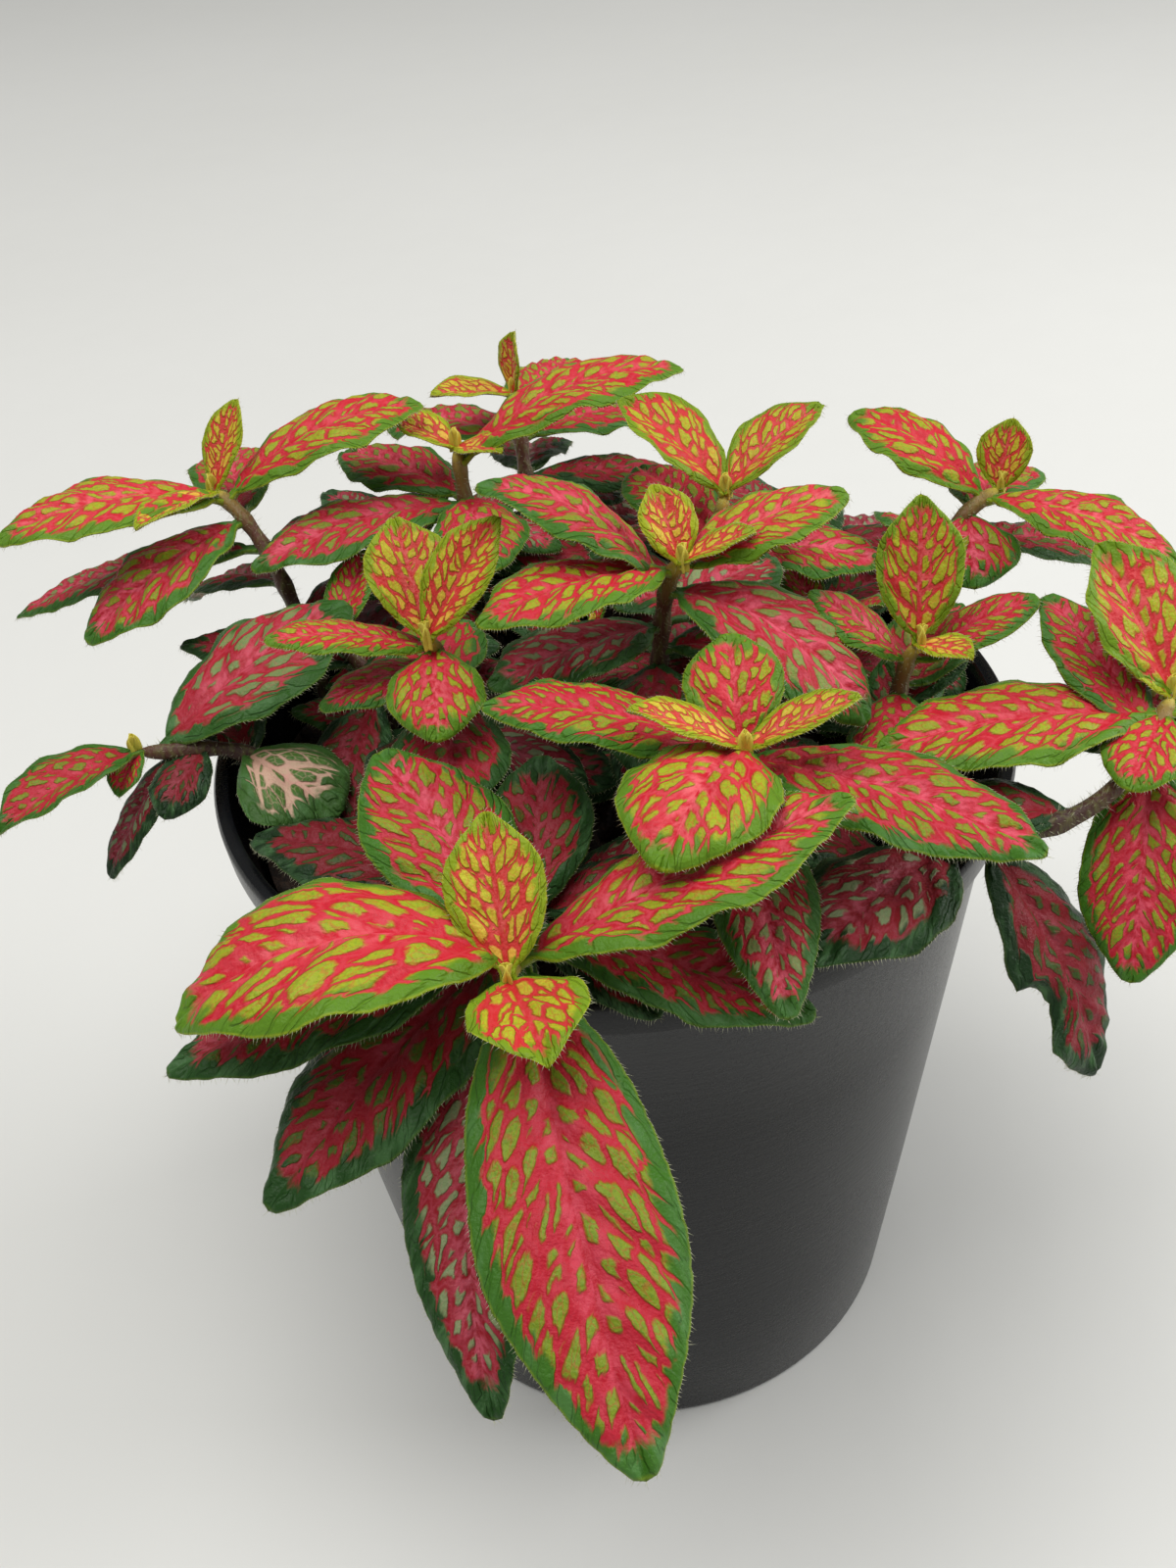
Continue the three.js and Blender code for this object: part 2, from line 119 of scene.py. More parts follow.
SHOOTS = {
    "shoot_front": Shoot([-9, -33], [-14, -60, 117], [
        [0.5, -15, -47, 130, 11, 15], [0.5, -10, -74, 119, 13, 25],
        [3, -48, -64, 119, 21, 100], [3, 24, -50, 130, 18, 15, -8],
        [7, -28, -29, 126, 17, 20], [7, -4, -103, 94, 21, 25, 0, -1],
        [12, -51, -63, 111, 16, 25], [12, 19, -59, 107, 14, 20],
        [16, -41, -74, 101, 15, 25], [16, -19, -91, 86, 15, 30, 0, -4],
        [16, -9, -27, 122, 13, 20],
        [20, 1, -57, 102, 9, 25],
        [23, -47, -22, 109, 15, 35],
    ]),
    "shoot_front_right": Shoot([13, -27], [14, -38, 128], [
        [0.5, 1, -38, 135, 7, 20], [0.5, 27, -38, 134, 7, 15],
        [3, 14, -24, 135, 12, 25], [3, 3, -57, 123, 18, 60],
        [7, -15, -36, 133, 13, 40], [7, 44, -54, 123, 16],
        [11, 15, -64, 112, 12],
        [16, 9, -10, 116, 14],
    ]),
    "shoot_middle": Shoot([6, -4], [10, -11, 137], [
        [0.5, 7, -5, 145, 8, 15], [0.5, 19, -12, 141, 6, 15],
        [3, -15, -23, 138, 14, 40], [3, 30, -6, 145, 14, 35],
        [7, -15, -7, 147, 15, 65], [7, 31, -24, 120, 18, 75],
        [13, -15, -18, 126, 14], [13, 24, 8, 126, 14],
        [19, 2, -26, 116, 13], [19, 16, 12, 114, 13],
    ]),
    "shoot_left_middle": Shoot([-20, -8], [-22, -14, 131], [
        [0.5, -25, -2, 142, 11, 20], [0.5, -10, -7, 142, 9, 20, 25],
        [3, -41, -17, 135, 9], [3, -21, -27, 125, 12, 40],
        [6, -35, -20, 127, 9],
        [12, -20, -33, 118, 15], [12, -24, 10, 120, 14],
        [18, -4, -20, 110, 12],
    ]),
    "shoot_right": Shoot([36, -12], [39, -15, 125], [
        [0.5, 40, -6, 141, 11, 10], [0.5, 44, -21, 126, 6, 20],
        [4, 54, -13, 129, 10, 25], [4, 25, -8, 129, 10, 25],
        [9, 32, -33, 116, 12], [9, 48, 2, 120, 13],
        [15, 22, -2, 110, 12],
    ]),
    "shoot_far_right": Shoot([31, -33], [67, -26, 122], [
        [0.5, 60, -13, 136, 16, 20], [0.5, 61, -21, 127, 7, 20],
        [3, 31, -28, 119, 17], [3, 60, -33, 114, 10],
        [3, 94, -22, 120, 16],
        [7, 58, -49, 97, 14], [7, 55, -11, 127, 11, 20],
        [7, 84, -4, 112, 15],
        [24, 31, -36, 112, 12, 25],
        [33, 56, -53, 87, 13, 40],
        [36, 18, -57, 113, 17, 35],
    ], way=[[32, -36, 126], [50, -52, 108]]),
    "shoot_right_back": Shoot([43, 17], [59, 23, 125], [
        [0.5, 61, 27, 134, 8, 15],
        [3, 39, 35, 133, 15, 50], [3, 79, 5, 121, 14, 45],
        [6, 53, 11, 116, 14, 35], [6, 68, 46, 116, 14, 35],
        [12, 84, 30, 106, 14, 35], [12, 40, 12, 127, 12, 40],
    ]),
    "shoot_back_right": Shoot([17, 18], [19, 20, 130], [
        [0.5, 5, 31, 140, 13, 35], [0.5, 34, 28, 138, 11],
        [3, 27, 7, 132, 9],
        [8, 8, 42, 124, 14], [8, 40, 10, 122, 14],
        [15, 38, 36, 112, 14], [15, 2, 8, 112, 14],
    ]),
    "shoot_left_back": Shoot([-42, 22], [-55, 34, 130], [
        [0.5, -50, 41, 141, 7, 15], [0.5, -64, 25, 130, 7, 20],
        [3, -84, 22, 130, 17, 50], [3, -23, 40, 138, 17, 55],
        [7, -73, 14, 118, 17, 35],
        [12, -29, 34, 124, 14, 25], [12, -90, 32, 114, 12],
        [7, -58, 64, 122, 14, 35],
        [18, -66, 52, 102, 13, 35],
    ]),
    "shoot_back_left": Shoot([-18, 33], [-19, 38, 132], [
        [0.5, -28, 42, 135, 8, 20], [0.5, -12, 32, 133, 8, 20],
        [3, 16, 40, 139, 16, 60],
        [8, -38, 52, 126, 14], [8, -14, 14, 124, 14],
        [15, -40, 24, 116, 14], [15, 2, 26, 114, 14],
    ]),
    "shoot_back": Shoot([-9, 42], [-10, 55, 132], [
        [0.5, -9, 55, 142, 7, 10], [0.5, -23, 52, 134, 8, 20],
        [4, 0, 78, 127, 13],
        [8, 14, 66, 122, 14], [8, -32, 70, 122, 14],
        [14, -8, 84, 108, 14, 35], [14, 18, 50, 112, 13],
    ]),
    "shoot_low_left": Shoot([-43, -3], [-64, -5, 112], [
        [0.5, -80, -18, 110, 11, 40], [0.5, -66, -11, 109, 5],
        [3, -35, 14, 121, 21],
        [6, -70, -13, 97, 8],
        [9, -60, -14, 107, 9, 40],
        [14, -37, -14, 105, 14],
        [16, -60, 16, 106, 13],
    ], way=[[-45, -3, 116], [-55, -5, 110]]),
}
CREAM_LEAF = ("shoot_low_left", 5)  # the one green leaf with cream veins
BITTEN_LEAF = ("shoot_far_right", 9)
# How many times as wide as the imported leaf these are
WIDER_HERE = {CREAM_LEAF: 1.2, BITTEN_LEAF: 1.3, ("shoot_front", 8): 1.2}
BITE_PLACE = 0.6  # share of the bitten leaf's length
BITE_RADIUS = 4.2
# Leaves that only the fine shoots have, low over a bare stem
EXTRA_LEAVES = {
    "shoot_far_right": [[3, 57.5, -40.5, 119.5, 10]],
    "shoot_left_back": [[1, -63, 18, 133, 7, 25]],
    "shoot_back_left": [[9, -49, 20, 124, 16, 40]],
}

# Where the shoots that follow the rule stand: azimuth, distance from the axis, height of the tip.
RULE_SHOOTS = {
    "shoot_rear_right": [46, 50, 116],
    "shoot_rear_middle": [72, 52, 114],
    "shoot_rear_left": [124, 50, 114],
    "shoot_side_left": [163, 40, 116],
    "shoot_inner_back": [95, 12, 114],
    "shoot_inner_right": [20, 34, 112],
}
RULE_PAIRS = 3
RULE_SEED = 7
FINE_SEED = 100
SOIL_SEED = 5

Z = np.array([0.0, 0.0, 1.0])


def unit(vectors):
    """The vectors, one or a row each, at length 1."""
    length = np.linalg.norm(vectors, axis=-1, keepdims=True)
    return vectors / np.maximum(length, 1e-9)


# ---- Meshes ----


class Surface:
    """The triangles of one piece while it grows, with what its finishes read at each point."""

    def __init__(self):
        self.places = []
        self.net = []
        self.leaf = []
        self.faces = []
        self.finishes = []
        self.count = 0

    def add(self, places, faces, finish, net=None, leaf=None):
        """Adds points in millimetres and triangles between them, with one finish or one for each triangle."""
        places = np.asarray(places, float).reshape(-1, 3)
        faces = np.asarray(faces, int).reshape(-1, 3)
        blank = np.zeros((len(places), 3))
        self.places.append(places)
        self.faces.append(faces + self.count)
        self.finishes.append(np.broadcast_to(finish, len(faces)))
        self.net.append(blank if net is None else net)
        self.leaf.append(blank if leaf is None else leaf)
        self.count += len(places)

    def piece(self, name, materials):
        """The finished Blender object."""
        mesh = bpy.data.meshes.new(name)
        mesh.from_pydata(np.concatenate(self.places) * MM, [], np.concatenate(self.faces).tolist())
        for label, rows in (("net", self.net), ("leaf", self.leaf)):
            attribute = mesh.attributes.new(label, "FLOAT_VECTOR", "POINT")
            attribute.data.foreach_set("vector", np.concatenate(rows).astype(np.float32).ravel())
        for material in materials:
            mesh.materials.append(material)
        mesh.polygons.foreach_set("material_index", np.concatenate(self.finishes).astype(np.int32))
        mesh.polygons.foreach_set("use_smooth", np.ones(len(mesh.polygons), bool))
        mesh.validate()
        mesh.update()
        made = bpy.data.objects.new(name, mesh)
        bpy.context.scene.collection.objects.link(made)
        return made


def grid_faces(rows, columns, first=0, wrap=False):
    """Triangles of a grid of points stored row by row, closed round its columns if wrap is set."""
    i, j = np.meshgrid(np.arange(rows - 1), np.arange(columns if wrap else columns - 1), indexing="ij")
    a = (first + i * columns + j).ravel()
    b = (first + i * columns + (j + 1) % columns).ravel()
    c = b + columns
    d = a + columns
    return np.concatenate([np.stack([a, b, c], 1), np.stack([a, c, d], 1)])


def closed_faces(rings, sides):
    """Triangles of a stack of rings, closed at its start and end by the two points that follow the rings."""
    count = rings * sides
    k = np.arange(sides)
    after = (k + 1) % sides
    start = np.stack([np.full(sides, count), after, k], 1)
    end = np.stack([np.full(sides, count + 1), count - sides + k, count - sides + after], 1)
    return np.concatenate([grid_faces(rings, sides, wrap=True), start, end])


def turned(profile, sides):
    """Points and triangles of a profile of (radius, height) turned round the axis and closed there."""
    angle = np.arange(sides) * 2 * math.pi / sides
    radius, height = np.array(profile, float).T
    x = radius[:, None] * np.cos(angle)
    y = radius[:, None] * np.sin(angle)
    z = np.repeat(height[:, None], sides, axis=1)
    ends = [[0, 0, height[0]], [0, 0, height[-1]]]
    places = np.concatenate([np.stack([x, y, z], 2).reshape(-1, 3), ends])
    return places, closed_faces(len(profile), sides)


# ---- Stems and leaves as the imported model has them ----


@dataclass
class Leaf:
    """One blade: an arc from its node on the stem to its tip."""

    base: np.ndarray
    tip: np.ndarray
    width: float
    arch: float = USUAL_ARCH
    roll: float = 0
    sweep: float = 0
    fold: float = 0.28
    droop: float = 0.38
    waves: float = 2.5
    age: float = 0.5
    seed: float = 0.0
    point: float = 0.4  # how far the blade draws in towards its tip
    bitten: bool = False

    @property
    def chord(self):
        return float(np.linalg.norm(self.tip - self.base))


def draw_from(seed):
    """A seeded draw between low and high."""
    state = seed

    def draw(low, high):
        nonlocal state
        state = (state * 1664525 + 1013904223) % 4294967296
        return low + (high - low) * (state / 4294967296)

    return draw


def shoot_by_rule(place, draw):
    """A shoot with crossed pairs of leaves: longer, lower and older from pair to pair down the stem."""
    azimuth, distance, height = place
    x = distance * math.cos(math.radians(azimuth))
    y = distance * math.sin(math.radians(azimuth))
    first = draw(0, 180)
    leaves = []
    for pair in range(RULE_PAIRS):
        for half in (0, 180):
            way = math.radians(first + 90 * pair + half + draw(-12, 12))
            rise = math.radians(42 - 32 * pair + draw(-6, 6))
            length = 15 + 9 * pair + draw(-2, 2)
            down = 0.5 + 5 * pair
            tip_x = x + length * math.cos(rise) * math.cos(way)
            tip_y = y + length * math.cos(rise) * math.sin(way)
            tip_z = height - 0.8 * down + length * math.sin(rise)
            leaves.append([down, tip_x, tip_y, tip_z, 0.45 * length, 20 + 6 * pair])
    return Shoot([0.8 * x, 0.8 * y], [x, y, height], leaves)


class Stem:
    """A shoot's line: up out of the soil, then over to the shoot's tip."""

    def __init__(self, shoot):
        root = np.array([*shoot.root, ROOT_HEIGHT], float)
        top = np.array(shoot.top, float)
        # The two middle corners: most of the rise comes over little of the way out
        low = root + (top - root) * (0.1, 0.1, 0.8)
        high = root + (top - root) * (0.6, 0.6, 0.97)
        if shoot.way:
            low, high = np.array(shoot.way, float)
        self.corners = [root, low, high, top]
        self.steps = np.linspace(0, 1, 201)
        hops = np.diff(self.curve(self.steps), axis=0)
        self.lengths = np.concatenate([[0], np.cumsum(np.linalg.norm(hops, axis=1))])
        self.length = self.lengths[-1]

    def curve(self, t):
        """Points of a cubic Bezier curve at these shares of its run."""
        t = np.atleast_1d(t)[:, None]
        a, b, c, d = self.corners
        return (1 - t) ** 3 * a + 3 * (1 - t) ** 2 * t * b + 3 * (1 - t) * t * t * c + t**3 * d

    def at(self, run):
        """Points at these lengths along the stem from its root."""
        return self.curve(np.interp(run, self.lengths, self.steps))


def leaf_of(stem, row):
    """The leaf that a row of the table states."""
    down, x, y, z, *form = row
    base = stem.at(stem.length - down)[0]
    leaf = Leaf(base, np.array([x, y, z], float), *form)
    if leaf.chord > LONG_LEAF:
        leaf.waves = 3.5
    if down < YOUNG_ZONE:
        leaf = replace(leaf, fold=0.4, droop=0.15, point=0.7)
    return leaf


def poses(leaf):
    """The poses that a leaf may take, nearest first: as stated, then turned a little, then shorter too."""
    yield leaf
    chord = leaf.tip - leaf.base
    radius = leaf.chord
    polar = math.acos(chord[2] / radius)
    azimuth = math.atan2(chord[1], chord[0])
    for share in (1, 0.88, 0.75, 0.6):
        for reach in (4, 8, 12, 17, 23):
            for k in range(8):
                phi = polar - math.radians(reach) * math.sin(k * math.pi / 4)
                theta = azimuth + math.radians(reach) * math.cos(k * math.pi / 4)
                flat = share * radius * math.sin(phi)
                rise = share * radius * math.cos(phi)
                way = np.array([flat * math.cos(theta), flat * math.sin(theta), rise])
                yield replace(leaf, tip=leaf.base + way, width=share * leaf.width)


def midrib(leaf, u):
    """Points along the blade's midrib, its normals and its ways across."""
    chord = leaf.tip - leaf.base
    flat = max(math.hypot(chord[0], chord[1]), 1e-3)
    out = np.array([chord[0] / flat, chord[1] / flat, 0])
    across = np.array([-out[1], out[0], 0])
    bend = math.radians(max(leaf.arch, 1))
    length = leaf.chord * bend / 2 / math.sin(bend / 2)
    start = math.atan2(chord[2], flat) + bend / 2
    turn = math.radians(leaf.roll)
    angle = (start - bend * u)[:, None]
    reach = length * (math.sin(start) - np.sin(angle)) / bend
    rise = length * (np.cos(angle) - math.cos(start)) / bend
    aside = leaf.sweep * 4 * (u * (1 - u))[:, None]
    normal = -np.sin(angle) * out + np.cos(angle) * Z
    up = math.cos(turn) * normal - math.sin(turn) * across
    side = math.cos(turn) * across + math.sin(turn) * normal
    return leaf.base + reach * out + aside * across + rise * Z, up, side


def half_width(leaf, u):
    """Half of the blade's width at u: a short stalk, then an oval that is widest past its middle."""
    share = np.clip((u - STALK_SHARE) / (1 - STALK_SHARE), 0, 1)
    oval = np.abs(np.sin(math.pi * share**1.1)) ** 0.62
    return STALK_WIDTH / 2 + (leaf.width / 2 - STALK_WIDTH / 2) * oval


def row_at(even):
    """Places of a blade's rows, closer together towards both ends."""
    return 0.45 * even + 0.55 * (0.5 - 0.5 * np.cos(math.pi * even))


def lift(leaf, half, u, v):
    """A blade's height over its midrib: halves that rise from the midrib, drop at the edge, and wave."""
    cup = half * (leaf.fold * np.abs(v) - leaf.droop * v * v)
    wave = np.cos(2 * math.pi * leaf.waves * u + np.where(v > 0, 0, 1.2))
    return cup + 0.045 * half * wave * np.abs(v) ** 3


def blade_points(leaf, u, v):
    """Points of a blade's middle surface, its shares u along and v across, and its normals."""
    middle, up, side = midrib(leaf, u)
    half = half_width(leaf, u)[:, None]
    height = lift(leaf, half, u[:, None], v)
    points = middle[:, None] + side[:, None] * (v * half)[..., None] + up[:, None] * height[..., None]
    return points, up[:, None]


def two_sheets(points, offset):
    """The points moved to both sides by the offset, one row each."""
    return np.concatenate([(points + offset).reshape(-1, 3), (points - offset).reshape(-1, 3)])


def packed_points(leaf):
    """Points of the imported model's blade, from where it stands free of its neighbours."""
    chord = leaf.chord
    rows = 8 if chord > LARGE_LEAF else 7 if chord > LONG_LEAF else 5
    columns = 5 if chord > LARGE_LEAF else 3
    u = row_at(np.arange(rows) / (rows - 1))
    v = np.linspace(-1, 1, columns) * np.where(np.arange(rows) == rows - 1, 0, 1)[:, None]
    points, up = blade_points(leaf, u, v)
    free = u > FREE_FROM
    return two_sheets(points[free], up[free] * BLADE_THICKNESS / 2)


def tree_of(mesh):
    """A mesh as a tree that finds its nearest point and its crossings."""
    return BVHTree.FromPolygons([v.co for v in mesh.vertices], [p.vertices for p in mesh.polygons])


ON_SURFACE = 0.05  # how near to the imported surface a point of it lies
ENOUGH = 0.8  # share of a blade's points that lie there if the blade does


def share_on(tree, points):
    """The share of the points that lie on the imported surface."""
    hits = [tree.find_nearest(Vector(point) * MM, ON_SURFACE * MM)[0] is not None for point in points]
    return sum(hits) / len(hits)


def grown_leaf(leaf, tree):
    """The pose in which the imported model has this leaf, or None where it wasn't grown."""
    for pose in poses(leaf):
        points = packed_points(pose)
        if share_on(tree, points[-1:]) and share_on(tree, points) > ENOUGH:
            return pose
    return None


# ---- Fine blades ----


def fine_grid(leaf):
    """Shares along and across a fine blade."""
    rows = max(14, round(leaf.chord / CELL))
    columns = 2 * max(3, round(leaf.width / CELL / 2)) + 1
    u = row_at(np.linspace(0, 1, rows))
    rim = 1 - 2 * RIM / leaf.width
    v = np.concatenate([[-1], np.linspace(-rim, rim, columns), [1]])
    return u, v


def vein_spacing(leaf):
    """Distance between the meshes of a leaf's net."""
    return 0.45 + 0.13 * leaf.width


def vein_run(leaf, u, v, half):
    """Where the side vein through a point leaves the midrib, in meshes of the net."""
    far = np.abs(v) * half / vein_spacing(leaf)
    return u * leaf.chord / vein_spacing(leaf) - far * (VEIN_SWEEP + VEIN_CURVE * far)


def relief(leaf, u, v, half):
    """Fine forms on the blade: a sunken midrib, quilting between side veins and a crinkled edge."""
    far = np.abs(v) * half
    along = u * leaf.chord
    strength = min(1.0, leaf.width / 14)
    groove = -MIDRIB_DEPTH * np.exp(-((far / 0.8) ** 2))
    run = vein_run(leaf, u, v, half) + SEED_SHIFT * leaf.seed + np.where(v < 0, HALF_SHIFT, 0)
    fade = np.clip(far / 1.5, 0, 1) * np.clip((half - far) / 2, 0.2, 1)
    quilt = QUILT * np.cos(2 * math.pi * SIDE_VEINS * run)
    bumps = BUMPS * np.sin(1.7 * along + 9 * leaf.seed) * np.sin(1.9 * v * half + leaf.seed)
    phase = leaf.seed * 7 + np.where(v > 0, 0, 2.1)
    crinkle = CRINKLE * np.sin(2 * math.pi * along / CRINKLE_LENGTH + phase) * np.abs(v) ** 5
    ruffle = RUFFLE * np.sin(2 * math.pi * along / RUFFLE_LENGTH + 2 * phase) * np.abs(v) ** 3
    return strength * (groove + (quilt + bumps) * fade + (crinkle + ruffle) * np.clip(half / 4, 0, 1))


def scalloped(leaf, u, v, half):
    """The half width with the small rounded teeth of the edge and a more pointed tip."""
    phase = leaf.seed * 11 + np.where(v > 0, 0, 1.7)
    teeth = TOOTH * (np.abs(np.sin(math.pi * u * leaf.chord / TOOTH_LENGTH + phase)) - 0.6)
    wander = WANDER * np.sin(2 * math.pi * u * leaf.chord / WANDER_LENGTH + phase)
    size = np.clip(half / 4, 0, 1) * min(1.0, leaf.width / 12)
    to_tip = np.clip((u - TIP_FROM) / (1 - TIP_FROM), 0, 1)
    reach = half * (1 - leaf.point * to_tip * to_tip) + (teeth + wander) * size
    if leaf.bitten:
        along = (u - BITE_PLACE) * leaf.chord
        notch = np.sqrt(np.clip(BITE_RADIUS**2 - along**2, 0, None)) + 0.3 * np.sin(4 * along)
        reach = reach - np.where((v < 0) & (np.abs(along) < BITE_RADIUS), notch, 0)
    return reach


def fine_blade(leaf):
    """Points of the upper and under side as grids, and the grids of u, v and half width."""
    u, v = fine_grid(leaf)
    middle, up, side = midrib(leaf, u)
    u, v = np.meshgrid(u, v, indexing="ij")
    half = np.repeat(half_width(leaf, u[:, 0])[:, None], v.shape[1], axis=1)
    half[-1] = 0
    reach = scalloped(leaf, u, v, half)
    height = lift(leaf, half, u, v) + relief(leaf, u, v, half)
    points = middle[:, None] + side[:, None] * (v * reach)[..., None] + up[:, None] * height[..., None]
    stalk = np.clip(1 - u / STALK_END, 0, 1)
    thickness = BLADE_MIDDLE + (STALK_MIDDLE - BLADE_MIDDLE) * stalk * min(1, leaf.width / 10)
    thin = np.clip(1 - np.abs(v) ** 6, 0, 1) ** 0.5 * np.clip((1 - u) * leaf.chord / 1.2, 0, 1) ** 0.5
    offset = up[:, None] * (thickness * thin / 2)[..., None]
    return points + offset, points - offset, u, v, half


def leaf_paint(leaf, u, v, half):
    """What the finishes read: place in the net of veins and distance from the edge; age, seed and share."""
    border = 0.3 + 0.07 * leaf.width
    edge = np.minimum((1 - np.abs(v)) * half, 0.5 * (1 - u) * leaf.chord) / border
    net = np.stack([vein_run(leaf, u, v, half), v * half / vein_spacing(leaf), edge], 2)
    ones = np.ones_like(u)
    return net.reshape(-1, 3), np.stack([ones * leaf.age, ones * leaf.seed, u], 2).reshape(-1, 3)


def weld(points, faces):
    """Joins equal points: which points are left, the faces between them, and which faces stay whole."""
    _, left, index = np.unique(points, axis=0, return_index=True, return_inverse=True)
    faces = index.ravel()[faces]
    whole = (faces != np.roll(faces, 1, axis=1)).all(axis=1)
    return left, faces[whole], whole


def add_blade(surface, leaf, upper_finish, under_finish):
    """Adds a closed blade whose two sides share the points of the edge."""
    top, under, u, v, half = fine_blade(leaf)
    rows, columns = u.shape
    upper = grid_faces(rows, columns)[:, ::-1]
    lower = grid_faces(rows, columns, first=u.size)
    k = np.arange(columns - 1)
    low = u.size + k
    back = np.concatenate([np.stack([low + 1, low, k], 1), np.stack([k + 1, low + 1, k], 1)])
    finish = np.repeat([upper_finish, under_finish], [len(upper), len(lower) + len(back)])
    places = np.concatenate([top.reshape(-1, 3), under.reshape(-1, 3)])
    left, faces, whole = weld(places, np.concatenate([upper, lower, back]))
    net, paint = (np.tile(values, (2, 1))[left] for values in leaf_paint(leaf, u, v, half))
    surface.add(places[left], faces, finish[whole], net, paint)
    return top


# ---- Hairs ----


def add_hairs(surface, roots, ways, lengths):
    """Adds closed three-sided spikes, one at each root."""
    ways = unit(ways)
    helper = np.where(np.abs(ways[:, 2:]) < 0.9, Z, np.array([1.0, 0, 0]))
    first = unit(np.cross(ways, helper))[:, None]
    second = np.cross(ways[:, None], first)
    angle = (np.arange(3) * 2 * math.pi / 3)[:, None]
    corners = roots[:, None] + HAIR_THICKNESS / 2 * (np.cos(angle) * first + np.sin(angle) * second)
    points = np.concatenate([corners, (roots + ways * lengths[:, None])[:, None]], 1)
    spike = np.array([[0, 1, 3], [1, 2, 3], [2, 0, 3], [0, 2, 1]])
    surface.add(points, spike + 4 * np.arange(len(roots))[:, None, None], HAIR)


def add_edge_hairs(surface, top, leaf, rng):
    """A fringe of fine hairs along both edges of a blade."""
    first = max(2, len(top) // 10)
    for edge, inward in ((0, 1), (-1, -2)):
        line, inner = top[first:, edge], top[first:, inward]
        line, inner = (np.concatenate([row, (row[1:] + row[:-1]) / 2]) for row in (line, inner))
        out = unit(line - inner)
        forward = unit(leaf.tip - leaf.base)
        ways = out + 0.55 * forward + rng.normal(0, 0.28, out.shape)
        lengths = rng.uniform(0.35, 0.95, len(line)) * min(1, 0.5 + leaf.width / 20)
        add_hairs(surface, line - 0.1 * out, ways, lengths)


# ---- Stems ----


def stem_frames(stem, runs):
    """Points, directions and two steady normals along a stem."""
    points = stem.at(runs)
    along = unit(np.gradient(points, axis=0))
    first = np.zeros_like(points)
    steady = np.array([1.0, 0.0, 0.0])
    for i, way in enumerate(along):
        steady = unit(steady - way * (steady @ way))
        first[i] = steady
    return points, along, first, np.cross(along, first)


def stem_radii(from_tip, nodes):
    """The stem's radius at these lengths from its tip: thicker below and at each node, with a domed end."""
    radius = STEM_RADIUS * (0.55 + 0.25 * np.clip(from_tip / 4, 0, 1) + 0.2 * np.clip(from_tip / 25, 0, 1))
    for down in nodes:
        radius += NODE_SWELL * np.clip(down / 3, 0.2, 1) * np.exp(-(((from_tip - down) / 1.5) ** 2))
    radius *= SLIM * np.clip(from_tip / 1.5, 0, 1) ** 0.5
    radius[-1] = 0.02
    return radius


def add_stem(surface, stem, nodes, older_and_shaded, rng):
    """A round and faintly ribbed stem with hairs all over."""
    runs = np.linspace(0, stem.length, max(12, round(stem.length / 0.8)))
    points, along, first, second = stem_frames(stem, runs)
    from_tip = stem.length - runs
    angle = np.arange(STEM_SIDES) * 2 * math.pi / STEM_SIDES
    rib = 1 + 0.05 * np.cos(4 * angle)
    ring = first[:, None] * np.cos(angle)[:, None] + second[:, None] * np.sin(angle)[:, None]
    places = points[:, None] + ring * (stem_radii(from_tip, nodes)[:, None] * rib)[..., None]
    # The added age darkens the stems of low and shaded shoots: partly real age, partly painted shade
    age = np.clip(from_tip / 22 + older_and_shaded, 0, 1)
    paint = np.stack([age, from_tip * 0.1, runs / stem.length], 1)
    places = np.concatenate([places.reshape(-1, 3), points[[0, -1]]])
    paint = np.concatenate([np.repeat(paint, STEM_SIDES, axis=0), paint[[0, -1]]])
    surface.add(places, closed_faces(len(runs), STEM_SIDES), STEM, leaf=paint)
    add_stem_hairs(surface, places[:-2], points, along, rng)


def add_stem_hairs(surface, places, points, along, rng):
    """Soft hairs that stand off a stem."""
    ring = np.repeat(np.arange(len(points)), STEM_SIDES)
    above_soil = np.flatnonzero(places[:, 2] > SOIL_HEIGHT + 1)
    chosen = np.sort(rng.choice(above_soil, len(above_soil) * 3 // 4, replace=False))
    out = unit(places[chosen] - points[ring[chosen]])
    roots = places[chosen] + rng.normal(0, 0.12, out.shape) - 0.1 * out
    ways = out + 0.25 * along[ring[chosen]] + rng.normal(0, 0.25, out.shape)
    add_hairs(surface, roots, ways, rng.uniform(0.5, 1.3, len(chosen)))


# ---- Shoots ----

ROOM = 0.6  # kept over and under an added leaf
LOWER_STEP = 4  # between the added leaves along a stem
LOWER_REACH = 52  # from the pot's axis, the furthest that an added leaf goes
LOWER_TOP = 119  # and the highest
LOWER_LEAST = (-60, -15, 13)  # an added leaf's turn and rise in degrees and its length, at least
LOWER_MOST = (60, 35, 26)  # and at most
TRIES = 16
# How much older than their place says the leaves and stems of low and shaded shoots look: partly real age,
# partly painted shade, as older colours are darker
OLDER_AND_SHADED = {"shoot_low_left": 0.45, **{name: 0.4 for name in RULE_SHOOTS}}
AGE_STEPS = ([0, 2, 4, 9, 14, 22], [0.0, 0.17, 0.46, 0.62, 0.8, 1.0])  # places down a stem, and ages there
AGE_SPREAD = 0.03
AMBER_WIDTH = 7  # a top leaf that is wider than this has begun to turn green


def bud_leaves(shoot):
    """The two small leaves of the terminal bud, set crosswise to the youngest pair."""
    top = np.array(shoot.top, float)
    pair = np.array(shoot.leaves[0][1:4], float) - top
    across = unit(np.array([-pair[1], pair[0], 0]))
    for way in (1, -1):
        tip = top + 0.7 * way * across + 2.7 * Z
        base = top + 0.2 * way * across - 0.8 * Z
        yield Leaf(base, tip, 1.7, 45, fold=0.75, droop=0.1, waves=1.5, age=0.0, seed=0.3 * way, point=0.9)


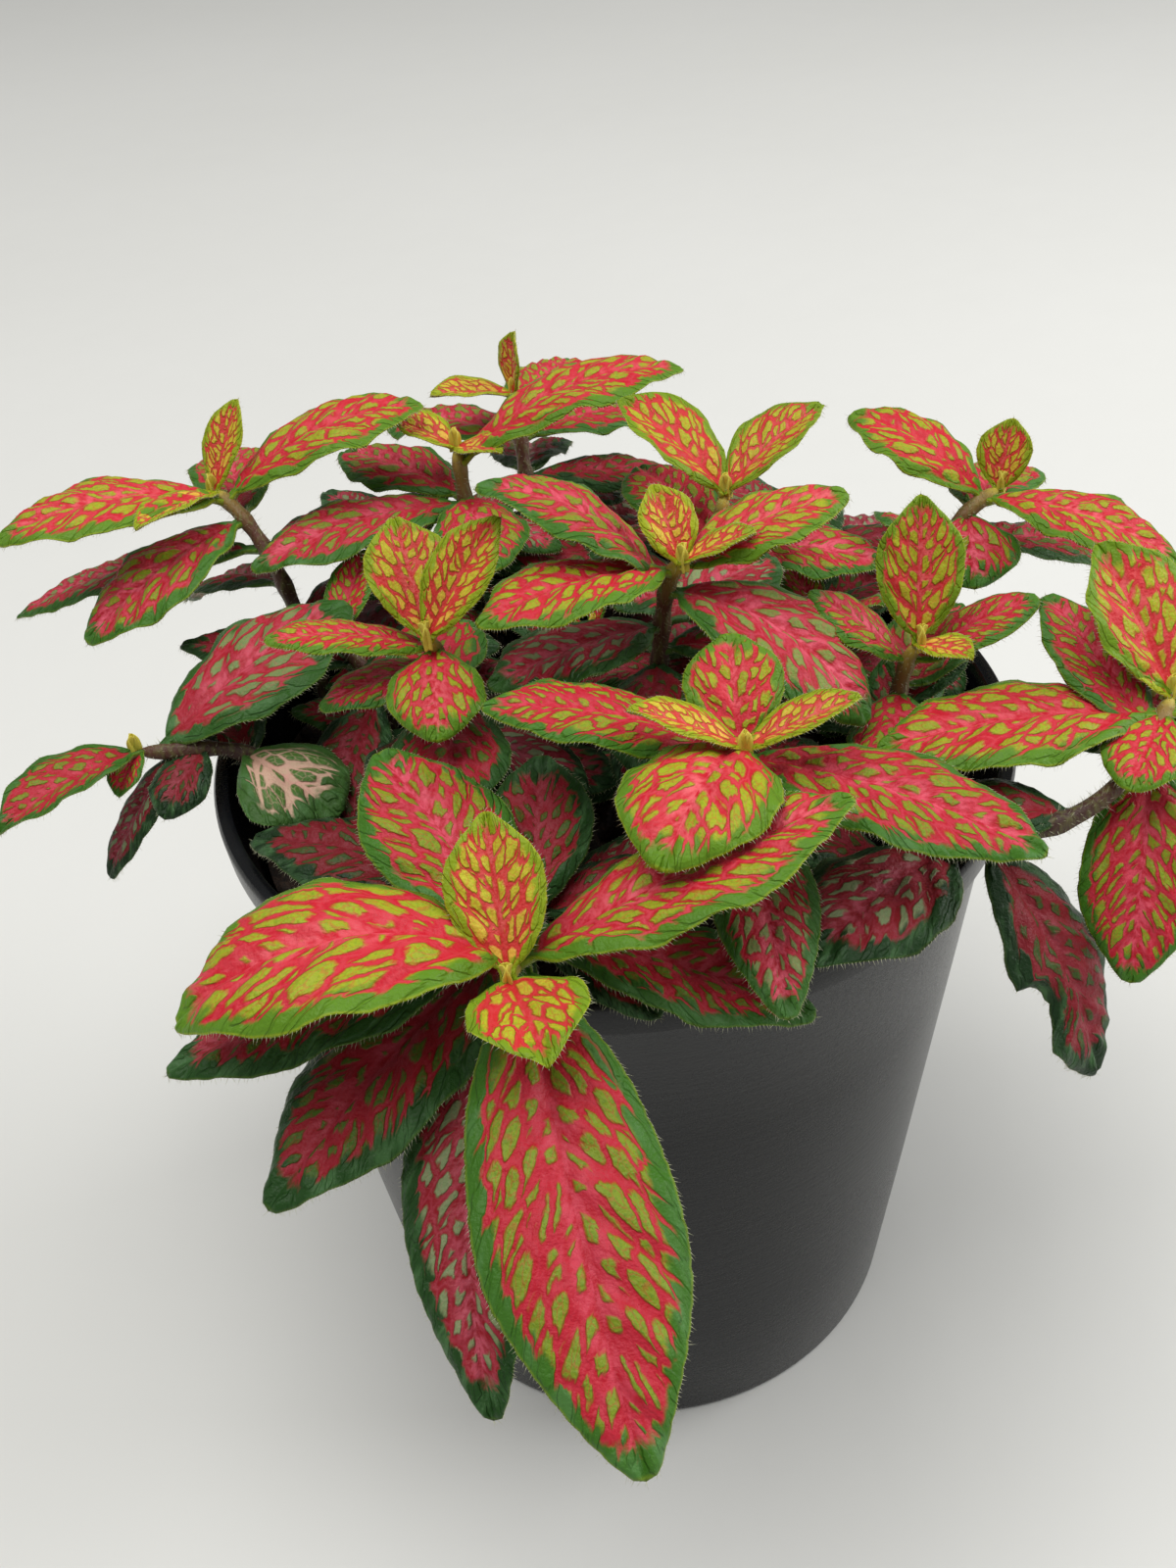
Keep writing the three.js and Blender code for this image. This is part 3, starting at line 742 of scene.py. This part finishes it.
def sheets_of(leaf, start=0.0, room=ROOM):
    """Two coarse sheets over and under a blade, from `start` of its length on, to test its room with."""
    u = np.linspace(start, 1, 8)
    v = np.linspace(-1, 1, 5)
    points, up = blade_points(leaf, u, v)
    places = two_sheets(points, room * up) * MM
    faces = grid_faces(len(u), len(v))
    return BVHTree.FromPolygons(places.tolist(), np.concatenate([faces, faces + u.size * v.size]).tolist())


def has_room(leaf, own, others):
    """True if the blade crosses nothing, apart from its own shoot near its stalk."""
    whole = sheets_of(leaf)
    if any(tree.overlap(whole) for tree in others):
        return False
    return not own.overlap(sheets_of(leaf, FREE_FROM))


def lower_leaves(stem, own, others, rng):
    """Old leaves low on the stem, wherever there is room between the leaves above and the soil."""
    runs = np.linspace(0, stem.length, 60)
    low = runs[stem.at(runs)[:, 2] > SOIL_HEIGHT + 4]
    for run in np.arange(low[0], stem.length - 8, LOWER_STEP):
        base = stem.at(run)[0]
        first = rng.uniform(0, 360)
        for half in (0, 180):
            for turn, rise, length in rng.uniform(LOWER_LEAST, LOWER_MOST, (TRIES, 3)):
                way = math.radians(first + half + turn)
                rise = math.radians(rise)
                flat = length * math.cos(rise)
                tip = base + (flat * math.cos(way), flat * math.sin(way), length * math.sin(rise))
                width = length * rng.uniform(0.48, 0.6)
                if math.hypot(tip[0], tip[1]) > LOWER_REACH or tip[2] > LOWER_TOP:
                    continue
                leaf = Leaf(base, tip, width)
                if has_room(leaf, own, others):
                    # Old leaves take the darkest colours, which are partly painted shade
                    leaf.age = float(rng.uniform(0.7, 1.0))
                    leaf.seed = float(rng.uniform(0, 10))
                    others.append(sheets_of(leaf))
                    yield leaf
                    break


def stated_leaves(name, shoot, stem, tree, rng):
    """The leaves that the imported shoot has, and its extra ones, each with its finish."""
    extra_rows = EXTRA_LEAVES.get(name, [])
    for number, row in enumerate(shoot.leaves + extra_rows):
        leaf = leaf_of(stem, row)
        if row not in extra_rows:
            leaf = grown_leaf(leaf, tree)
        if leaf is None:
            continue
        # The added age darkens the leaves of low and shaded shoots: partly real age, partly painted shade
        age = np.interp(row[0], *AGE_STEPS) + OLDER_AND_SHADED.get(name, 0.0) + rng.normal(0, AGE_SPREAD)
        if row[0] < YOUNG_ZONE:
            age += 0.2 * np.clip((leaf.width - AMBER_WIDTH) / 8, 0, 1)
        leaf.age = float(np.clip(age, 0, 1))
        leaf.seed = float(rng.uniform(0, 10))
        leaf.bitten = (name, number) == BITTEN_LEAF
        leaf.width *= WIDER_HERE.get((name, number), 1)
        yield leaf, CREAM if (name, number) == CREAM_LEAF else UPPER


def build_shoot(name, shoot, trees, added, materials, rng):
    """One piece: the stem, its leaves, its bud and their hairs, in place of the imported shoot."""
    stem = Stem(shoot)
    surface = Surface()
    add_stem(surface, stem, sorted({row[0] for row in shoot.leaves}), OLDER_AND_SHADED.get(name, 0.0), rng)
    leaves = list(stated_leaves(name, shoot, stem, trees[name], rng))
    if name != CREAM_LEAF[0]:
        others = [tree for node, tree in trees.items() if node != name] + added
        for leaf in lower_leaves(stem, trees[name], others, rng):
            leaves.append((leaf, UPPER))
            added.append(sheets_of(leaf))
    for leaf, finish in leaves:
        top = add_blade(surface, leaf, finish, UNDER)
        add_edge_hairs(surface, top, leaf, rng)
    for leaf in bud_leaves(shoot):
        add_blade(surface, leaf, STEM, STEM)
    piece = surface.piece(name + "_fine", materials)
    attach(piece, "root")
    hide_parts(name)


# ---- Pot and soil ----

CRUMBS = 420
CRUMB_SIDES = 6
SHARP_EDGE = 35  # degrees between two faces of the pot that don't shade as one


def pot_profile():
    """The pot's section: up its outside from the middle of its base, over the rim and down its inside."""
    wall = [(BASE_RADIUS + k * (BODY_TOP_RADIUS - BASE_RADIUS), k * COLLAR_FOOT) for k in (0.25, 0.5, 0.75)]
    top = [(-0.05, -1.2), (-0.1, -0.6), (-0.4, -0.15), (-0.9, 0), (-1.8, 0), (-2.1, -0.2), (-2.3, -0.8)]
    rounded = [
        (BASE_RADIUS, 0, [(-1.2, 0), (-0.5, 0.2), (-0.15, 0.6), (0, 1.2)]),
        (0, 0, wall),
        (BODY_TOP_RADIUS, COLLAR_FOOT, [(-0.1, -0.3), (0.1, 0)]),
        (RIM_RADIUS, COLLAR_FOOT, [(-0.8, 0.05), (-0.45, 0.3), (-0.35, 0.8)]),
        (RIM_RADIUS, POT_HEIGHT, top),
        (RIM_RADIUS, COLLAR_FOOT, [(-2.6, 1)]),
        (BODY_TOP_RADIUS - WALL, COLLAR_FOOT, [(0, -0.6)]),
        (BASE_RADIUS - WALL, FLOOR, [(0, 1), (-1, 0)]),
    ]
    profile = [(radius + out, height + up) for radius, height, corner in rounded for out, up in corner]
    return [(AXIS, 0), *profile, (AXIS, FLOOR)]


def cut_holes(piece):
    """Cuts the drain holes with a boolean and keeps the result."""
    radius, depth = DRAIN_RADIUS * MM, 4 * FLOOR * MM
    for i in range(DRAIN_HOLES):
        turn = 2 * math.pi * (i + 0.5) / DRAIN_HOLES
        place = Vector((math.cos(turn), math.sin(turn), 0)) * DRAIN_CIRCLE * MM
        bpy.ops.mesh.primitive_cylinder_add(vertices=48, radius=radius, depth=depth, location=place)
        cutter = bpy.context.object
        cut = piece.modifiers.new("drain", "BOOLEAN")
        cut.operation = "DIFFERENCE"
        cut.object = cutter
        bpy.context.view_layer.update()
        depsgraph = bpy.context.evaluated_depsgraph_get()
        mesh = bpy.data.meshes.new_from_object(piece.evaluated_get(depsgraph))
        piece.modifiers.clear()
        piece.data = mesh
        bpy.data.objects.remove(cutter)


def build_pot(material):
    """The pot with its drain holes."""
    surface = Surface()
    surface.add(*turned(pot_profile(), POT_SIDES), 0)
    piece = surface.piece("pot_fine", [material])
    cut_holes(piece)
    piece.data.set_sharp_from_angle(angle=math.radians(SHARP_EDGE))
    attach(piece, "root")
    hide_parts("pot")


def crumbs(x, y):
    """How far the crumbly soil stands over its mean height."""
    broad = np.sin(0.21 * x + 1.3) * np.cos(0.17 * y)
    fine = np.sin(0.83 * x - 0.4 * y) + np.cos(0.71 * y + 0.5 * x)
    return 1.1 * broad + 0.7 * fine


def add_crumbs(surface, edge, rng):
    """Loose lumps of peat that lie half sunk in the soil."""
    faces = closed_faces(2, CRUMB_SIDES)
    for _ in range(CRUMBS):
        r = edge * 0.97 * math.sqrt(rng.uniform(0, 1))
        way = rng.uniform(0, 2 * math.pi)
        x, y = r * math.cos(way), r * math.sin(way)
        size = rng.uniform(0.5, 1.7)
        middle = np.array([x, y, SOIL_HEIGHT + float(crumbs(x, y)) + 0.2 * size])
        rings = []
        for height in (-0.4, 0.45):
            radii = size * rng.uniform(0.6, 1.1, CRUMB_SIDES)
            angle = np.arange(CRUMB_SIDES) * 2 * math.pi / CRUMB_SIDES + height
            ring = [radii * np.cos(angle), radii * np.sin(angle), np.full(CRUMB_SIDES, height * size)]
            rings.append(np.stack(ring, 1))
        ends = [[0, 0, -size], [0, 0, 0.8 * size]]
        surface.add(middle + np.concatenate([*rings, ends]), faces, 0)


def wall_inside(z):
    """The pot's inner radius at a height."""
    return BASE_RADIUS - WALL + (BODY_TOP_RADIUS - BASE_RADIUS) * z / COLLAR_FOOT


def build_soil(material, rng):
    """The soil in the pot: a plug with a rough crumbly top."""
    edge = wall_inside(SOIL_HEIGHT) - GAP - 0.6
    foot = FLOOR + 1 + GAP
    profile = [(AXIS, foot), (wall_inside(foot) - GAP - 1, foot)]
    profile += [(share * edge, SOIL_HEIGHT) for share in np.linspace(1, 0.01, 56)]
    places, faces = turned(profile, POT_SIDES)
    x, y = places[:, 0], places[:, 1]
    inside = (places[:, 2] > SOIL_HEIGHT - 1) & (np.hypot(x, y) < 0.985 * edge)
    rough = 0.35 * np.sin(2.9 * x + 1.7 * y) * np.sin(2.3 * y - 1.1 * x) + rng.normal(0, 0.12, len(x))
    places[inside, 2] += (crumbs(x, y) + rough)[inside]
    surface = Surface()
    surface.add(places, faces, 0)
    add_crumbs(surface, edge, rng)
    piece = surface.piece("soil_fine", [material])
    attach(piece, "root")
    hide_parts("soil")


# ---- Materials ----


def colour(text):
    """The linear colour of a hex code."""
    values = [int(text[i : i + 2], 16) / 255 for i in (0, 2, 4)]
    return [v / 12.92 if v <= 0.04045 else ((v + 0.055) / 1.055) ** 2.4 for v in values] + [1.0]


class Value:
    """A number, vector or colour that a material's nodes work out, and the nodes that take it further."""

    def __init__(self, paint, socket):
        self.paint = paint
        self.socket = socket

    def math(self, operation, *others):
        return self.paint.node("Math", enumerate([self, *others]), operation=operation)

    def __add__(self, other):
        return self.math("ADD", other)

    def __sub__(self, other):
        return self.math("SUBTRACT", other)

    def __mul__(self, other):
        return self.math("MULTIPLY", other)

    def around(self, size):
        """Turns 0 to 1 into minus to plus half of size."""
        return (self - 0.5) * size

    def spread(self, low, high, end=1.0):
        """Changes evenly from low, where this is 0, to high, where it reaches its end."""
        inputs = {"Value": self, "From Max": end, "To Min": low, "To Max": high}
        return self.paint.node("MapRange", inputs)

    def step(self, low, high, most=1.0):
        """0 below low and the most above high, with a smooth change between."""
        inputs = {"Value": self, "From Min": low, "From Max": high, "To Max": most}
        return self.paint.node("MapRange", inputs, interpolation_type="SMOOTHSTEP")

    def mix(self, a, b):
        """Colour a where this is 0 and colour b where it is 1."""
        return self.paint.node("Mix", {"Factor": self, 6: a, 7: b}, 2, data_type="RGBA")

    def ramp(self, stops):
        """A colour or a number that changes with this from stop to stop."""
        made = self.paint.new("ValToRGB", {0: self})
        elements = made.color_ramp.elements
        while len(elements) < len(stops):
            elements.new(0.5)
        for element, (place, tone) in zip(elements, stops.items()):
            element.position = place
            element.color = colour(tone) if isinstance(tone, str) else (tone, tone, tone, 1)
        return Value(self.paint, made.outputs[0])


class Paint:
    """A material whose nodes are built by formula."""

    def __init__(self, name):
        self.material = bpy.data.materials.new(name)
        self.material.use_nodes = True
        self.tree = self.material.node_tree
        self.shader = self.tree.nodes["Principled BSDF"]

    def feed(self, socket, value):
        """Links a socket to a value, or sets its number, vector or hex colour."""
        if isinstance(value, Value):
            self.tree.links.new(value.socket, socket)
        else:
            socket.default_value = colour(value) if isinstance(value, str) else value

    def new(self, kind, inputs=(), **settings):
        """A new node with its settings, and its inputs by name or number."""
        made = self.tree.nodes.new("ShaderNode" + kind)
        for key, value in settings.items():
            setattr(made, key, value)
        for key, value in dict(inputs).items():
            self.feed(made.inputs[key], value)
        return made

    def node(self, kind, inputs=(), output=0, **settings):
        """The value that a new node puts out, by the output's name or number."""
        return Value(self, self.new(kind, inputs, **settings).outputs[output])

    def split(self, vector):
        """The three numbers of a vector."""
        return [Value(self, part) for part in self.new("SeparateXYZ", {0: vector}).outputs]

    def join(self, x, y, z=0.0):
        return self.node("CombineXYZ", {0: x, 1: y, 2: z})

    def attribute(self, name):
        """The three numbers that the mesh holds at each point under this name."""
        return self.split(self.node("Attribute", output="Vector", attribute_name=name))

    def place(self, stretch=(1, 1, 1)):
        """The point on the piece, in metres, stretched along the axes."""
        point = self.node("TexCoord", output="Object")
        return self.node("VectorMath", {0: point, 1: stretch}, operation="MULTIPLY")

    def noise(self, scale, detail=2.0, vector=None, output="Fac"):
        """Noise at the point on the piece or at another vector."""
        inputs = {"Vector": vector or self.place(), "Scale": scale, "Detail": detail}
        return self.node("TexNoise", inputs, output)

    def cells(self, vector, feature="DISTANCE_TO_EDGE"):
        """The distance to the nearest wall or, with F1, the nearest middle in a plane of irregular cells."""
        inputs = {"Vector": vector, "Scale": 1.0, "Randomness": 0.8}
        return self.node("TexVoronoi", inputs, "Distance", feature=feature, voronoi_dimensions="2D")

    def bump(self, height, distance, strength=1.0):
        inputs = {"Height": height, "Distance": distance, "Strength": strength}
        self.feed(self.shader.inputs["Normal"], self.node("Bump", inputs))

    def finish(self, base, roughness, **more):
        """The material with its colour, its roughness and more of the shader's inputs."""
        for name, value in {"Base Color": base, "Roughness": roughness, **more}.items():
            self.feed(self.shader.inputs[name.replace("_", " ")], value)
        return self.material


# How leaves look, their colours and the widths of their veins from young to old; the green leaf's oldest
# colours are partly darkened as painted shade for the low, hidden leaves
GREEN_LEAF = {
    "vein": {0: "cc3a30", 0.3: "c61c2e", 0.7: "a81a2a", 1: "78161e"},
    # The paler pink of midribs and vein middles: partly their own colour, partly painted sheen
    "pale_pink_and_sheen": {0: "e07060", 0.5: "f0667c", 1: "a84a5a"},
    "mesh": {0: "dcc63e", 0.2: "a8b024", 0.5: "8e9c22", 0.75: "567222", 1: "3e5222"},
    "border": {0: "a4ae1c", 0.22: "688e1c", 0.5: "44761e", 0.8: "264c1c", 1: "183216"},
    "width": {0: 0.045, 0.3: 0.08, 0.6: 0.105, 1: 0.14},
    "side width": 0.0,  # how much wider the side veins are
    "wandering": 1.0,  # how far the net strays
    "sage_and_sheen": 0.5,  # how strongly some old leaves show pale grey-green meshes: partly sage colour, partly painted sheen
}
CREAM_VEINED = {
    "vein": {0: "d8b89c", 1: "ccab92"},
    # The paler pink of midribs and vein middles: partly their own colour, partly painted sheen
    "pale_pink_and_sheen": {0: "e2a498", 1: "d89c92"},
    "mesh": {0: "5f8034", 1: "4f7330"},
    "border": {0: "4a702c", 1: "3c6028"},
    "width": {0: -0.18, 1: -0.18},
    "side width": 0.07,
    "wandering": 0.45,
    "sage_and_sheen": 0.0,
}


class LeafPaint(Paint):
    """The upper side of a leaf: veins in a net with green meshes, inside a green border."""

    def __init__(self, name, look):
        super().__init__(name)
        self.look = look
        run, across, self.edge = self.attribute("net")
        self.age, seed, self.share = self.attribute("leaf")
        self.far = across.math("ABSOLUTE")
        run = run + seed * SEED_SHIFT + across.math("LESS_THAN", 0.0) * HALF_SHIFT
        self.raw = self.join(run, self.far, seed)
        wander = self.split(self.noise(1.1, 3.0, self.raw, "Color"))
        self.x = run + wander[0].around(look["wandering"])
        self.y = self.far + wander[1].around(0.9 * look["wandering"])
        self.grain = self.noise(2600.0)
        self.to_small_vein = self.net_cells(0.84, 1.22)
        # How strongly each leaf shows its paler pink and grey-green tints, which are partly painted sheen
        self.sheen_and_tint_share = (seed * 7.31).math("FRACT").spread(0.3, 0.95)

    def tone(self, part):
        """The colour or width of a part at the leaf's age."""
        return self.age.ramp(self.look[part])

    def net_cells(self, along, across, feature="DISTANCE_TO_EDGE"):
        """The cells of the net, so many for each of its steps along and across the leaf."""
        return self.cells(self.join(self.x * along, self.y * across), feature)

    def net(self):
        """1 in the meshes and 0 on the veins: side veins that run on to the edge, small ones between them."""
        to_side_vein = ((self.x * SIDE_VEINS).math("FRACT") - 0.5).math("ABSOLUTE")
        outward = self.far.spread(0.11, -0.06, 3.0) * (self.age.step(0.1, 0.4, 0.5) + 0.5)
        patch = self.noise(0.55, 1.0, self.raw).around(0.14)
        width = self.tone("width") + outward + patch + self.grain.around(0.07)
        small_mesh = (self.to_small_vein - width).step(-0.04, 0.075)
        side_mesh = (to_side_vein - width * 0.45 - self.look["side width"]).step(-0.025, 0.05)
        rounded = self.net_cells(0.84, 1.22, "F1").step(0.66, 0.48)
        return small_mesh * side_mesh * rounded * self.far.step(0.1, 0.22)

    def veins(self):
        """The veins' colour: paler pink along the midrib and the middles of small veins, partly their own
        colour and partly a painted sheen that is strong on some leaves, and darker with painted shade in the
        base of an older leaf.
        """
        # Paler pink along the midrib and the middles of small veins: partly the veins' own colour, partly
        # painted sheen
        pale_pink_and_sheen = self.far.step(1.5, 0.1) * self.share.step(0.1, 0.4)
        pale_pink_and_sheen = pale_pink_and_sheen * self.noise(2.4, 3.0, self.raw).step(0.35, 0.65)
        pale_pink_and_sheen = pale_pink_and_sheen.math("MAXIMUM", self.to_small_vein.step(0.12, 0.0, 0.3))
        vein = (pale_pink_and_sheen * self.sheen_and_tint_share).mix(self.tone("vein"), self.tone("pale_pink_and_sheen"))
        # Painted shade: the veins darken towards the base of an older leaf
        shadow = self.share.step(0.3, 0.05) * self.age.step(0.25, 0.45, 0.4)
        return shadow.mix(vein, "7d1a20")

    def meshes(self):
        """The meshes' green with darker specks and the finest veins, amber in the base of a young leaf."""
        green = self.grain.step(0.42, 0.75, 0.4).mix(self.tone("mesh"), self.tone("border"))
        green = self.net_cells(2.7, 3.4).step(0.14, 0.0, 0.4).mix(green, self.tone("vein"))
        amber = self.share.step(0.5, 0.1) * self.age.step(0.26, 0.08, 0.8)
        # Pale grey-green meshes on some old leaves: partly sage colour, partly painted sheen
        sage_and_sheen_mask = self.sheen_and_tint_share.step(0.6, 0.9) * self.age.step(0.58, 0.7, self.look["sage_and_sheen"])
        return sage_and_sheen_mask.mix(amber.mix(green, "f0b050"), "a0ac84")

    def with_border(self, body, mesh):
        """The body inside a border with a ragged inner line, a bluish bloom and a paler edge."""
        ragged = self.edge + self.noise(2.2, 3.0, self.raw).around(1.2) - mesh * 0.5 + 0.2
        ragged = ragged - self.age.step(0.5, 0.95, 0.6)
        bloom = self.noise(0.9, 2.0, self.raw).step(0.45, 0.7) * self.age.step(0.2, 0.7, 0.4)
        green = bloom.mix(self.tone("border"), "5c8854")
        green = self.edge.step(0.22, 0.05, 0.6).mix(green, self.tone("mesh"))
        return ragged.step(1.3, 0.75).mix(body, green)


def leaf_material(name, look):
    """The upper side of a leaf."""
    p = LeafPaint(name, look)
    mesh = p.net()
    base = p.with_border(mesh.mix(p.veins(), p.meshes()), mesh)
    p.bump(mesh * 0.45 + p.grain * 0.35 + p.noise(900.0) * 0.4, 0.00045, 0.9)
    return p.finish(base, p.grain * 0.22 + 0.34, Specular_IOR_Level=0.2)


def under_material():
    """The under side of a leaf: olive to red-brown, with paler veins."""
    p = Paint("leaf_underside")
    run, across, edge = p.attribute("net")
    age, seed, _ = p.attribute("leaf")
    raw = p.join(run + seed * SEED_SHIFT, across.math("ABSOLUTE"), seed)
    to_vein = p.cells(raw)
    fine = p.noise(1800.0, 3.0)
    base = age.ramp({0: "b4b450", 0.4: "828e48", 1: "666440"})
    base = (p.noise(1.4, 3.0, raw) * 0.4).mix(base, "84463a")
    base = to_vein.step(0.16, 0.04, 0.5).mix(base, "a8705a")
    base = edge.step(0.9, 0.5).mix(base, age.ramp({0: "a9b02c", 0.5: "6b8134", 1: "47603a"}))
    p.bump(to_vein.step(0.25, 0.0, 0.6) + fine * 0.4, 0.00025, 0.8)
    return p.finish(base, fine * 0.2 + 0.45, Sheen_Weight=0.2)


def stem_material():
    """Stems: yellow at the tip, olive to red-brown below."""
    p = Paint("stem")
    age, _, _ = p.attribute("leaf")
    streaks = p.noise(1500.0, 3.0, p.place((1, 1, 0.25)))
    base = age.ramp({0: "d8cc4c", 0.12: "8c702a", 0.4: "5a301c", 1: "3a1c14"})
    base = (streaks.step(0.4, 0.7) * age.step(0.0, 0.3, 0.5)).mix(base, "6c7034")
    p.bump(streaks, 0.0003, 0.9)
    return p.finish(base, streaks * 0.2 + 0.45, Sheen_Weight=0.08)


def hair_material():
    """Pale hairs."""
    p = Paint("hairs")
    tint = p.noise(400.0, 1.0)
    return p.finish(tint.mix("a9ad7c", "d8d6bc"), tint * 0.2 + 0.35)


def pot_material():
    """Charcoal moulded plastic, softly glossy, with a fine grain and faint scuffs."""
    p = Paint("pot_plastic")
    grain = p.noise(2200.0, 3.0)
    cloud = p.noise(28.0, 4.0)
    scuffs = p.noise(120.0, 5.0, p.place((1, 1, 9)))
    base = scuffs.step(0.6, 0.8, 0.15).mix(cloud.mix("08090b", "0e0f12"), "303136")
    p.bump(grain * 0.5 + scuffs * 0.5, 0.00012, 0.6)
    return p.finish(base, cloud * 0.1 + grain * 0.08 + 0.18, Specular_IOR_Level=0.21)


def soil_material():
    """Dark moist peat with lighter fibres."""
    p = Paint("peat")
    lumps = p.noise(420.0, 6.0)
    fibres = p.noise(1600.0, 3.0)
    base = lumps.step(0.35, 0.7).mix("1d140e", "3e2c1f")
    p.bump(lumps + fibres * 0.4, 0.0012)
    return p.finish(fibres.step(0.62, 0.75, 0.6).mix(base, "6b5138"), lumps * 0.2 + 0.75)


def floor_material():
    """A pale matt floor with very faint mottling."""
    p = Paint("pale_floor")
    fine = p.noise(60.0, 4.0)
    p.bump(fine, 0.0006, 0.3)
    return p.finish(p.noise(3.0, 4.0).mix("dadad6", "e2e2df"), fine * 0.15 + 0.55)


# ---- Camera, floor and light ----

CAMERA_PLACE = (-3.8, -177.76, 233.53)
CAMERA_PITCH = 37.74  # degrees below the horizon
CAMERA_ROLL = -4.99
LENS_MM = 36
SENSOR_MM = 36
FLOOR_SIDE = 12  # metres


def build_camera():
    """The camera looks along +Y, tipped down and rolled a little."""
    camera = bpy.data.objects.new("camera", bpy.data.cameras.new("camera"))
    camera.data.lens = LENS_MM
    camera.data.sensor_width = SENSOR_MM
    camera.data.clip_start = 0.01
    tip = Matrix.Rotation(math.radians(90 - CAMERA_PITCH), 4, "X")
    roll = Matrix.Rotation(math.radians(CAMERA_ROLL), 4, "Z")
    camera.matrix_world = Matrix.Translation(Vector(CAMERA_PLACE) * MM) @ tip @ roll
    bpy.context.scene.collection.objects.link(camera)
    bpy.context.scene.camera = camera


def build_floor():
    """A wide pale floor at the height of the pot's base."""
    corners = [(-1, -1, 0), (1, -1, 0), (1, 1, 0), (-1, 1, 0)]
    mesh = bpy.data.meshes.new("floor")
    mesh.from_pydata([Vector(corner) * FLOOR_SIDE / 2 for corner in corners], [], [(0, 1, 2, 3)])
    mesh.materials.append(floor_material())
    made = bpy.data.objects.new("floor", mesh)
    bpy.context.scene.collection.objects.link(made)


def area_light(name, place, aim, size, power, tint):
    """A square soft light at a place that points at its aim, both in metres."""
    light = bpy.data.lights.new(name, "AREA")
    light.size = size
    light.energy = power
    light.color = tint
    made = bpy.data.objects.new(name, light)
    made.location = place
    made.rotation_euler = (Vector(aim) - Vector(place)).to_track_quat("-Z", "Y").to_euler()
    bpy.context.scene.collection.objects.link(made)


def build_light():
    """Soft light from above and from the right, and a pale world round it."""
    scene = bpy.context.scene
    scene.world = bpy.data.worlds.new("studio")
    scene.world.use_nodes = True
    background = scene.world.node_tree.nodes["Background"]
    background.inputs["Color"].default_value = colour("f4f5f4")
    background.inputs["Strength"].default_value = 0.35
    area_light("key", place=(-0.3, -0.1, 1.85), aim=(0, -0.1, 0), size=1.5, power=27, tint=(1, 0.99, 0.97))
    area_light("side", place=(0.9, 0.1, 0.6), aim=(0, 0, 0.05), size=0.6, power=6, tint=(1, 1, 1))
    scene.view_settings.view_transform = "Standard"


def kept_clear(shoots, trees):
    """Sheets over the leaf with cream veins, so that no added leaf hides it."""
    name, number = CREAM_LEAF
    shoot = shoots[name]
    leaf = grown_leaf(leaf_of(Stem(shoot), shoot.leaves[number]), trees[name])
    return [sheets_of(leaf, room=room) for room in (2, 5, 8, 12, 16)]


def build_plant():
    """All pieces of the object."""
    finishes = [
        leaf_material("leaf_upper", GREEN_LEAF),
        under_material(),
        stem_material(),
        hair_material(),
        leaf_material("leaf_cream_veined", CREAM_VEINED),
    ]
    draw = draw_from(RULE_SEED)
    shoots = {**SHOOTS, **{name: shoot_by_rule(place, draw) for name, place in RULE_SHOOTS.items()}}
    trees = {name: tree_of(node.data) for name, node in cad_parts.items()}
    added = kept_clear(shoots, trees)
    for number, (name, shoot) in enumerate(shoots.items()):
        build_shoot(name, shoot, trees, added, finishes, np.random.default_rng(FINE_SEED + number))
    build_pot(pot_material())
    build_soil(soil_material(), np.random.default_rng(SOIL_SEED))


build_camera()
build_floor()
build_light()
build_plant()
